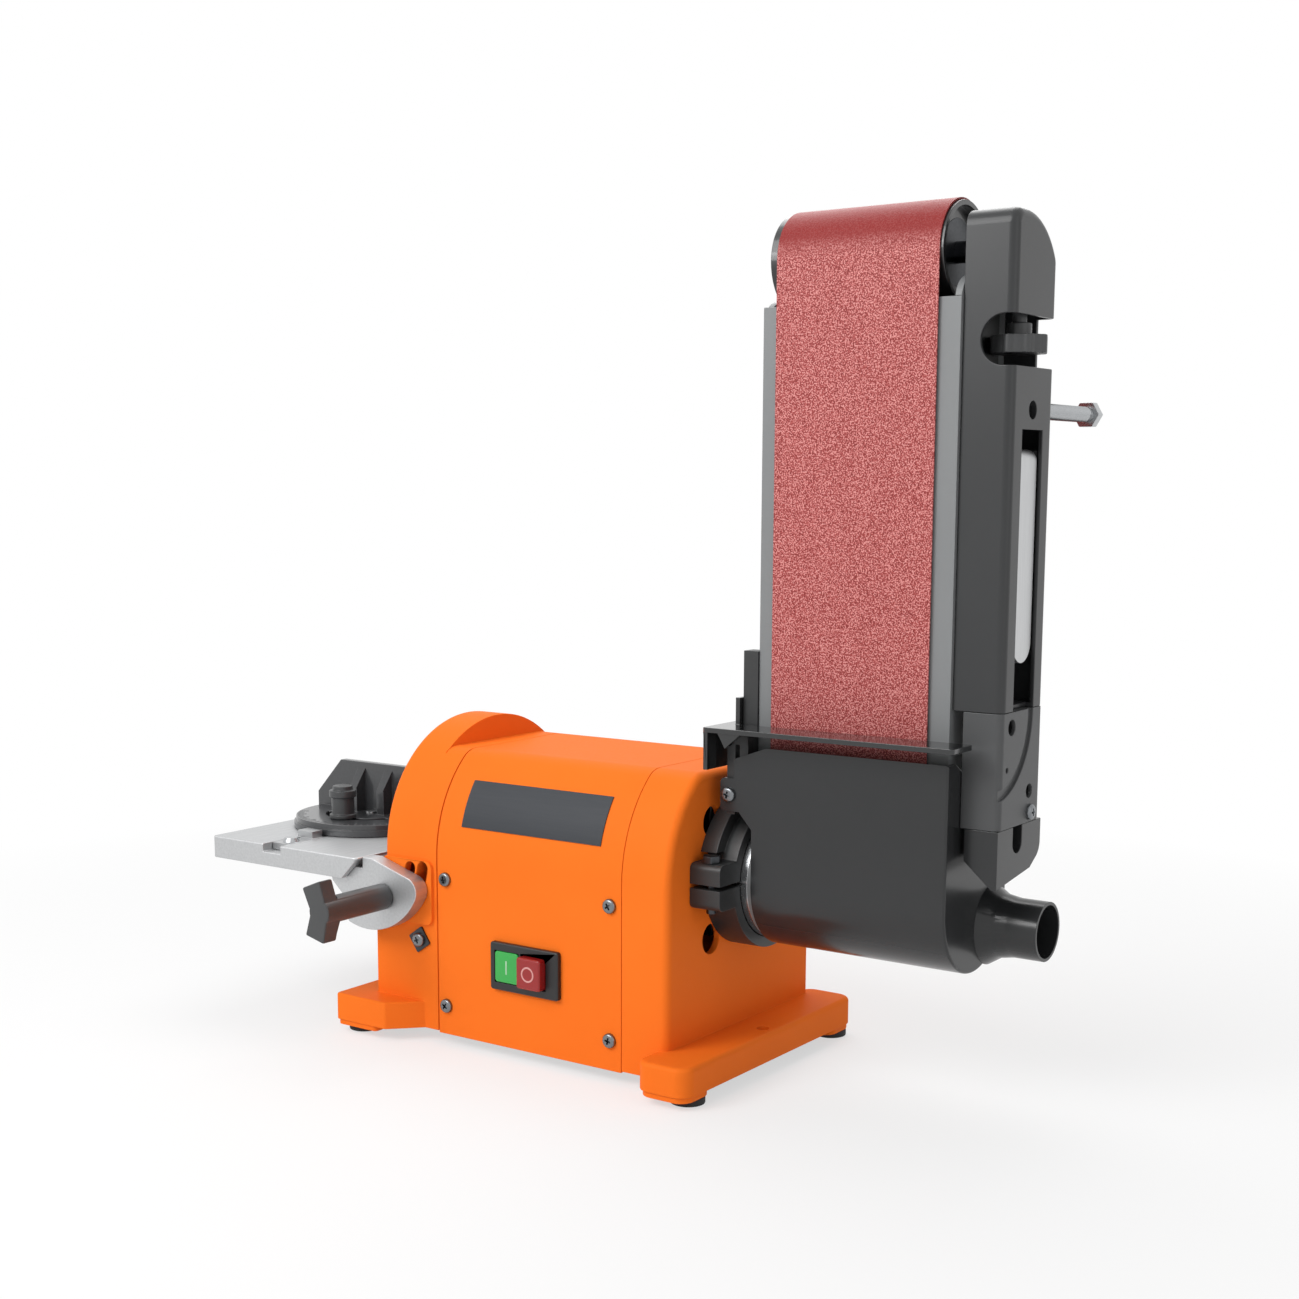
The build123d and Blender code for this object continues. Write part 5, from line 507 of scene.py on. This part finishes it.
def roll_edges(node, width_mm):
    """A copy of a CAD node with its sharp edges rolled over, which stands in for the node."""
    source = frame["nodes"][node]
    piece = bpy.data.objects.new(node + "_rolled", source.data.copy())
    bpy.context.scene.collection.objects.link(piece)
    start_clean()
    piece.select_set(True)
    bpy.context.view_layer.objects.active = piece
    bpy.ops.mesh.customdata_custom_splitnormals_clear()
    bpy.ops.object.mode_set(mode="EDIT")
    bpy.ops.mesh.select_all(action="SELECT")
    bpy.ops.mesh.remove_doubles(threshold=WELD)
    bpy.ops.mesh.dissolve_limited(angle_limit=FLAT)
    bpy.ops.object.mode_set(mode="OBJECT")
    bevel = piece.modifiers.new("rolled_edges", "BEVEL")
    bevel.width = width_mm * MM
    bevel.segments = ROLL_STEPS
    bevel.limit_method = "ANGLE"
    bevel.angle_limit = SHARP
    bevel.use_clamp_overlap = False
    bpy.ops.object.modifier_apply(modifier=bevel.name)
    settle(piece)
    weights = piece.modifiers.new("flat_faces", "WEIGHTED_NORMAL")
    weights.keep_sharp = True
    bpy.ops.object.modifier_apply(modifier=weights.name)
    dress(piece, source.material_slots[0].material)
    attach(piece, body_of[node])
    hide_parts(node)
    return piece


rolled = [roll_edges(node, width) for node, width in edge_mm.items()]
rolled_faces = sum(len(piece.data.polygons) for piece in rolled)
print("rolled the edges of", len(rolled), "pieces,", rolled_faces, "faces")

# %% [markdown]
# A thread is a ridge wound round a shank, and a spring is a wire wound round nothing. Both come
# from one ring of edges that the screw modifier turns and lifts at once. The two ends that this
# leaves open are then closed.

# %% Winding helper
STEPS = 24
WIRE_SIDES = 16


def wind_up(ring, pitch, turns):
    """Winds a ring of edges round Z into a closed coil."""
    wind = ring.modifiers.new("wind", "SCREW")
    wind.axis = "Z"
    wind.screw_offset = pitch
    wind.iterations = turns
    wind.steps = STEPS
    wind.render_steps = STEPS
    bpy.ops.object.modifier_apply(modifier=wind.name)
    bpy.ops.object.mode_set(mode="EDIT")
    bpy.ops.mesh.select_all(action="SELECT")
    bpy.ops.mesh.fill_holes(sides=WIRE_SIDES)
    bpy.ops.mesh.normals_make_consistent(inside=False)
    bpy.ops.object.mode_set(mode="OBJECT")


print("a turn is made in", STEPS, "steps")

# %% [markdown]
# The support bolt is threaded, so that it can be set for the arm's angle. Its ridge is a small
# triangle that points outwards, sunk a little into the shank.

# %% Thread on the support bolt
THREAD_PITCH = 1.75 * MM
CREST_R = 4.7 * MM
RIDGE_D = 0.9 * MM
RIDGE_SHARE = 0.42
THREAD_GAP = 9.0 * MM
TRIANGLE_H = 1.5
bolt_low, bolt_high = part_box("support_bolt")
thread_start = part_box("side_cover")[1].y + RIDGE_D
turns = int((bolt_high.y - THREAD_GAP - thread_start) / THREAD_PITCH)
start_clean()
bpy.ops.mesh.primitive_circle_add(vertices=3, radius=1, fill_type="NOTHING",
                                  rotation=(math.pi / 2, math.pi / 2, 0))
thread = bpy.context.object
thread.name = "support_thread"
bpy.ops.object.transform_apply(rotation=True)
tip = max(vertex.co.x for vertex in thread.data.vertices)
thread.scale = (RIDGE_D / TRIANGLE_H, 1.0, THREAD_PITCH * RIDGE_SHARE)
thread.location = (CREST_R - tip * RIDGE_D / TRIANGLE_H, 0, 0)
bpy.ops.object.transform_apply(location=True, scale=True)
wind_up(thread, THREAD_PITCH, turns)
thread.rotation_euler = (-math.pi / 2, 0, 0)
thread.location = ((bolt_low.x + bolt_high.x) / 2, thread_start, (bolt_low.z + bolt_high.z) / 2)
dress(settle(thread), zinc_metal)
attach(thread, "belt_arm")
print("thread turns:", turns)

# %% [markdown]
# A spring under the idler's carriage keeps the belt tight, and the lever presses it shorter.

# %% Tension spring
WIRE_R = 0.9 * MM
COIL_TURNS = 6
spring_low, spring_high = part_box("tension_spring")
coil_r = (spring_high.x - spring_low.x) / 2 - WIRE_R
coil_rise = spring_high.z - spring_low.z - 2 * WIRE_R
spring_foot = Vector(((spring_low.x + spring_high.x) / 2, (spring_low.y + spring_high.y) / 2, spring_low.z))
joint_of = {joint["name"]: joint for joint in frame["joints"]}
start_clean()
bpy.ops.mesh.primitive_circle_add(vertices=WIRE_SIDES, radius=WIRE_R, fill_type="NOTHING",
                                  location=(coil_r, 0, 0), rotation=(math.pi / 2, 0, 0))
spring = bpy.context.object
spring.name = "tension_coil"
bpy.ops.object.transform_apply(location=True, rotation=True)
wind_up(spring, coil_rise / COIL_TURNS, COIL_TURNS)
spring.location = spring_foot + Vector((0, 0, WIRE_R))
dress(settle(spring), zinc_metal)
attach(spring, body_of["tension_spring"])
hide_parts("tension_spring")
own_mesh(spring)

# %% [markdown]
# The sheet cover and the arm are held by pan-head screws with a cross recess. The CAD screws
# have a plain tapered head, because threads and recesses mean nothing to a collision test.
# Here one head is turned from a cylinder: its rim is rolled over with a wide bevel, the shank
# is drawn out of its underside by inset and extrude, and two tapered blades cut the cross.

# %% One pan-head screw
HEAD_R = 4.6 * MM
HEAD_H = 2.6 * MM
HEAD_SIDES = 40
RIM_ROLL = 1.9 * MM
RIM_STEPS = 6
RIM_PROFILE = 0.55
SHANK_R = 2.5 * MM
SHANK_L = 5.0 * MM
BLADE = (5.4 * MM, 1.5 * MM, 3.4 * MM)
BLADE_TAPER = (0.55, 0.55, 1.0)
RECESS = 2.0 * MM


def model_pan_head():
    """A pan-head screw that stands on z = 0 with its head up."""
    start_clean()
    bpy.ops.mesh.primitive_cylinder_add(vertices=HEAD_SIDES, radius=HEAD_R, depth=HEAD_H,
                                        location=(0, 0, HEAD_H / 2))
    screw = bpy.context.object
    screw.name = "pan_head_model"
    bpy.ops.object.transform_apply(location=True)
    pick(screw, "edges", lambda co: co.z > HEAD_H - WELD)
    bpy.ops.mesh.bevel(offset=RIM_ROLL, segments=RIM_STEPS, profile=RIM_PROFILE)
    pick(screw, "faces", lambda co: co.z < WELD)
    bpy.ops.mesh.inset(thickness=HEAD_R - SHANK_R)
    bpy.ops.mesh.extrude_region_move(TRANSFORM_OT_translate={"value": (0, 0, -SHANK_L)})
    bpy.ops.object.mode_set(mode="OBJECT")
    for turn in (0, math.pi / 2):
        start_clean()
        bpy.ops.mesh.primitive_cube_add(size=1, location=(0, 0, HEAD_H - RECESS + BLADE[2] / 2),
                                        rotation=(0, 0, turn))
        blade = bpy.context.object
        blade.scale = BLADE
        bpy.ops.object.transform_apply(location=True, rotation=True, scale=True)
        pick(blade, "faces", lambda co: co.z < HEAD_H)
        bpy.ops.transform.resize(value=BLADE_TAPER, center_override=(0, 0, 0))
        bpy.ops.object.mode_set(mode="OBJECT")
        start_clean()
        bpy.context.view_layer.objects.active = screw
        screw.select_set(True)
        cut = screw.modifiers.new("cross_recess", "BOOLEAN")
        cut.object = blade
        cut.operation = "DIFFERENCE"
        cut.solver = "EXACT"
        bpy.ops.object.modifier_apply(modifier=cut.name)
        bpy.data.objects.remove(blade)
    dress(screw, screw_metal)
    return settle(screw)


pan_head = model_pan_head()
print("pan head has", len(pan_head.data.polygons), "faces")

# %% [markdown]
# The screws' places come from the CAD nodes themselves. Vertices that lie close together are
# one screw, the middle of their box is on its axis, and the side that the head faces follows
# from where the screw sits: on the front, on the back, on the stop's ear or on the covers.

# %% Find the screws and set a head on each
def separate_spots(node, reach):
    """Boxes of the solids of one node, as lowest and highest corners."""
    boxes = []
    for vertex in frame["nodes"][node].data.vertices:
        for low, high in boxes:
            middle = (low + high) / 2
            if (vertex.co - middle).length < reach:
                for i in range(3):
                    low[i] = min(low[i], vertex.co[i])
                    high[i] = max(high[i], vertex.co[i])
                break
        else:
            boxes.append((vertex.co.copy(), vertex.co.copy()))
    return boxes


def facing(node, middle):
    """The way that a screw's head faces, from its node and place."""
    frame_low, frame_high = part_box("arm_frame")
    above_hood = middle.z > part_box("drum_hood")[1].z
    if node == "arm_screws" and middle.x < frame_low.x and above_hood:
        return Vector((-1, 0, 0))
    if node == "arm_screws" and middle.x > frame_high.x:
        return Vector((1, 0, 0))
    return Vector((0, 1 if middle.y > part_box("sanding_belt")[1].y else -1, 0))


SCREW_REACH = 14 * MM
SPINS_DEG = (20, 65, 5, 40, 80, 30, 55, 10)
made = 0
for node, body in (("cover_screws", "base"), ("pointer_screw", "base"), ("arm_screws", "belt_arm")):
    for low, high in separate_spots(node, SCREW_REACH):
        middle = (low + high) / 2
        out = facing(node, middle)
        top = max(out.dot(low), out.dot(high))
        seat = middle + out * (top - HEAD_H - out.dot(middle))
        spin = Matrix.Rotation(math.radians(SPINS_DEG[made % len(SPINS_DEG)]), 4, "Z")
        aim = out.to_track_quat("Z", "Y").to_matrix().to_4x4()
        screw = pan_head.copy()
        screw.data = pan_head.data.copy()
        screw.name = node + "_" + str(made + 1)
        bpy.context.scene.collection.objects.link(screw)
        screw.data.transform(Matrix.Translation(seat) @ aim @ spin)
        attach(screw, body)
        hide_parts(node)
        made += 1
bpy.data.objects.remove(pan_head)
print("screws set:", made)

# %% [markdown]
# The two buttons carry the plain signs for on and off, a bar and a ring. They are printed on
# the real ones, so they stand up by little more than the ink. The ring is a torus pressed
# flat and the bar is a block with rounded corners.

# %% Signs on the buttons
SIGN_R = 4.4 * MM
SIGN_LINE = 0.55 * MM
SIGN_RISE = 0.18 * MM
RING_SIDES = 48
RING_LINE_SIDES = 10
BAR_ROLL = 0.12 * MM
BAR_STEPS = 2


def face_front(sign, node, ink):
    """Turns a sign that lies in X and Y to face the front, on the middle of a button."""
    low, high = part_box(node)
    sign.rotation_euler = (math.pi / 2, 0, 0)
    sign.location = ((low.x + high.x) / 2, low.y, (low.z + high.z) / 2)
    dress(sign, ink)
    return settle(sign)


start_clean()
bpy.ops.mesh.primitive_torus_add(major_radius=SIGN_R, minor_radius=SIGN_LINE,
                                 major_segments=RING_SIDES, minor_segments=RING_LINE_SIDES)
ring_sign = bpy.context.object
ring_sign.name = "off_ring"
ring_sign.scale.z = SIGN_RISE / SIGN_LINE
bpy.ops.object.transform_apply(scale=True)
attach(face_front(ring_sign, "stop_button", off_print), "stop_button")

start_clean()
bpy.ops.mesh.primitive_cube_add(size=1)
bar_sign = bpy.context.object
bar_sign.name = "on_bar"
bar_sign.scale = (2 * SIGN_LINE, 2 * SIGN_R, 2 * SIGN_RISE)
bpy.ops.object.transform_apply(scale=True)
pick(bar_sign, "edges", lambda co: True)
bpy.ops.mesh.bevel(offset=BAR_ROLL, segments=BAR_STEPS)
bpy.ops.object.mode_set(mode="OBJECT")
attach(face_front(bar_sign, "start_button", on_print), "start_button")
print("signs:", ring_sign.name, bar_sign.name)

# %% [markdown]
# The mitre head carries a degree scale round its rim, cast in and wiped with paint. A long and a
# short line are modelled as thin blocks with rounded edges, then copied round the pivot, the long
# one at every third step, and the copies are joined into one piece.

# %% Degree scale on the mitre head
SCALE_STEP = 5
SCALE_END = 60
SCALE_R = 52.5 * MM
HEAD_T = 8.0 * MM
LINE_W = 0.55 * MM
LINE_RISE = 0.16 * MM
LINE_ROLL = 0.08 * MM
LONG_STEP = 15
LONG_L = 6.5 * MM
SHORT_L = 4.0 * MM


def model_line(length):
    """One line of the scale, lying along Y with its outer end at the origin."""
    start_clean()
    bpy.ops.mesh.primitive_cube_add(size=1, location=(0, length / 2, 0))
    line = bpy.context.object
    line.scale = (LINE_W, length, 2 * LINE_RISE)
    bpy.ops.object.transform_apply(location=True, scale=True)
    pick(line, "edges", lambda co: True)
    bpy.ops.mesh.bevel(offset=LINE_ROLL, segments=1)
    bpy.ops.object.mode_set(mode="OBJECT")
    return settle(line)


long_line = model_line(LONG_L)
short_line = model_line(SHORT_L)
pivot = Vector(joint_of["mitre_angle"]["pos_m"])
scale_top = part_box("mitre_head")[0].z + HEAD_T
lines = []
for angle in range(-SCALE_END, SCALE_END + 1, SCALE_STEP):
    model = long_line if angle % LONG_STEP == 0 else short_line
    line = model.copy()
    line.data = model.data.copy()
    bpy.context.scene.collection.objects.link(line)
    spin = Matrix.Rotation(math.radians(angle), 4, "Z")
    line.data.transform(Matrix.Translation((pivot.x, pivot.y, scale_top)) @ spin
                        @ Matrix.Translation((0, -SCALE_R, 0)))
    lines.append(line)
bpy.data.objects.remove(long_line)
bpy.data.objects.remove(short_line)
start_clean()
for line in lines:
    line.select_set(True)
bpy.context.view_layer.objects.active = lines[0]
bpy.ops.object.join()
degree_scale = bpy.context.object
degree_scale.name = "degree_scale"
dress(degree_scale, scale_print)
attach(degree_scale, "mitre_head")
print("scale lines:", len(lines))

# %% [markdown]
# A sheet of pale floor carries the soft shadow. The photograph's ground is plain white, so the
# floor shows mostly white to the camera, wholly so away from the machine, and keeps a part of
# its shading close by for the contact shadow. Light Path tells the rays that show the floor, to
# the camera or in metal and glass, from the rays that only carry its light.

# %% Floor
WHITE = (1, 1, 1, 1)
FLOOR_R = 6.0
FLOOR_SIDES = 96
FLOOR_DROP = 0.5 * MM
FLOOR_ROUGHNESS = 0.9
FADE_START = 0.25
FADE_END = 0.9
NEAR_SHARE = 0.60


def showing_rays(tree):
    """A socket that is one for camera, glossy and transmission rays and zero for all others."""
    rays = add_node(tree, "ShaderNodeLightPath")
    shown = rays.outputs["Is Camera Ray"]
    for kind in ("Is Glossy Ray", "Is Transmission Ray"):
        shown = add_node(tree, "ShaderNodeMath", {0: shown, 1: rays.outputs[kind]}, operation="ADD",
                         use_clamp=True).outputs["Value"]
    return shown


start_clean()
bpy.ops.mesh.primitive_circle_add(vertices=FLOOR_SIDES, radius=FLOOR_R, fill_type="NGON",
                                  location=(0, 0, -FLOOR_DROP))
floor = bpy.context.object
floor.name = "studio_floor"
floor_paper, tree, shader, place = new_material("pale_floor_paper")
shader.inputs["Base Color"].default_value = linear("#F1F1F1")
shader.inputs["Roughness"].default_value = FLOOR_ROUGHNESS
distance = add_node(tree, "ShaderNodeVectorMath", {0: place}, operation="LENGTH")
fade = add_node(tree, "ShaderNodeMapRange", {"Value": distance.outputs["Value"], "From Min": FADE_START,
                                             "From Max": FADE_END, "To Min": NEAR_SHARE, "To Max": 1.0})
share = add_node(tree, "ShaderNodeMath", {0: fade.outputs["Result"], 1: showing_rays(tree)},
                 operation="MULTIPLY")
white = add_node(tree, "ShaderNodeEmission", {"Color": WHITE, "Strength": 1.0})
blend = add_node(tree, "ShaderNodeMixShader", {"Fac": share.outputs["Value"], 1: shader.outputs["BSDF"],
                                               2: white.outputs["Emission"]})
tree.links.new(blend.outputs["Shader"], tree.nodes["Material Output"].inputs["Surface"])
floor.data.materials.append(floor_paper)
print("floor is", round(floor.dimensions.x, 1), "m across")

# %% [markdown]
# Product pictures are lit by large soft boxes. One wide box hangs in front and above as the
# key, a second stands to the right so the side covers read, a third lights the cover's top, a
# small one on the left puts a sheen on the belt's upper end, and the white room fills the rest.

# %% Lights and the white room
ROOM_LEVEL = 0.45


def soft_box(name, place, aim, size, watts):
    """Area light of a given size at a place, turned towards a point."""
    start_clean()
    bpy.ops.object.light_add(type="AREA", location=place)
    box = bpy.context.object
    box.name = name
    box.data.shape = "RECTANGLE"
    box.data.size, box.data.size_y = size
    box.data.energy = watts
    box.rotation_euler = (Vector(aim) - Vector(place)).to_track_quat("-Z", "Y").to_euler()


machine_middle = (0.05, 0.0, 0.2)
cover_middle = (0.0, 0.0, 0.2)
belt_upper_end = (0.17, 0.0, 0.48)
soft_box("key_box", (-0.5, -1.6, 1.6), machine_middle, size=(1.6, 1.2), watts=26)
soft_box("side_box", (1.9, -0.4, 0.9), machine_middle, size=(1.0, 1.4), watts=2.6)
soft_box("top_box", (-0.12, 0.32, 0.85), cover_middle, size=(0.7, 0.5), watts=2.6)
soft_box("belt_box", (-0.39, -1.06, 0.8), belt_upper_end, size=(0.35, 0.35), watts=2.6)

world = bpy.data.worlds.new("white_room")
bpy.context.scene.world = world
world.use_nodes = True
tree = world.node_tree
tree.nodes.clear()
level = add_node(tree, "ShaderNodeMapRange", {"Value": showing_rays(tree), "To Min": ROOM_LEVEL,
                                              "To Max": 1.0})
room = add_node(tree, "ShaderNodeBackground", {"Color": WHITE, "Strength": level.outputs["Result"]})
add_node(tree, "ShaderNodeOutputWorld", {"Surface": room.outputs["Background"]})
bpy.context.scene.view_settings.view_transform = "Standard"
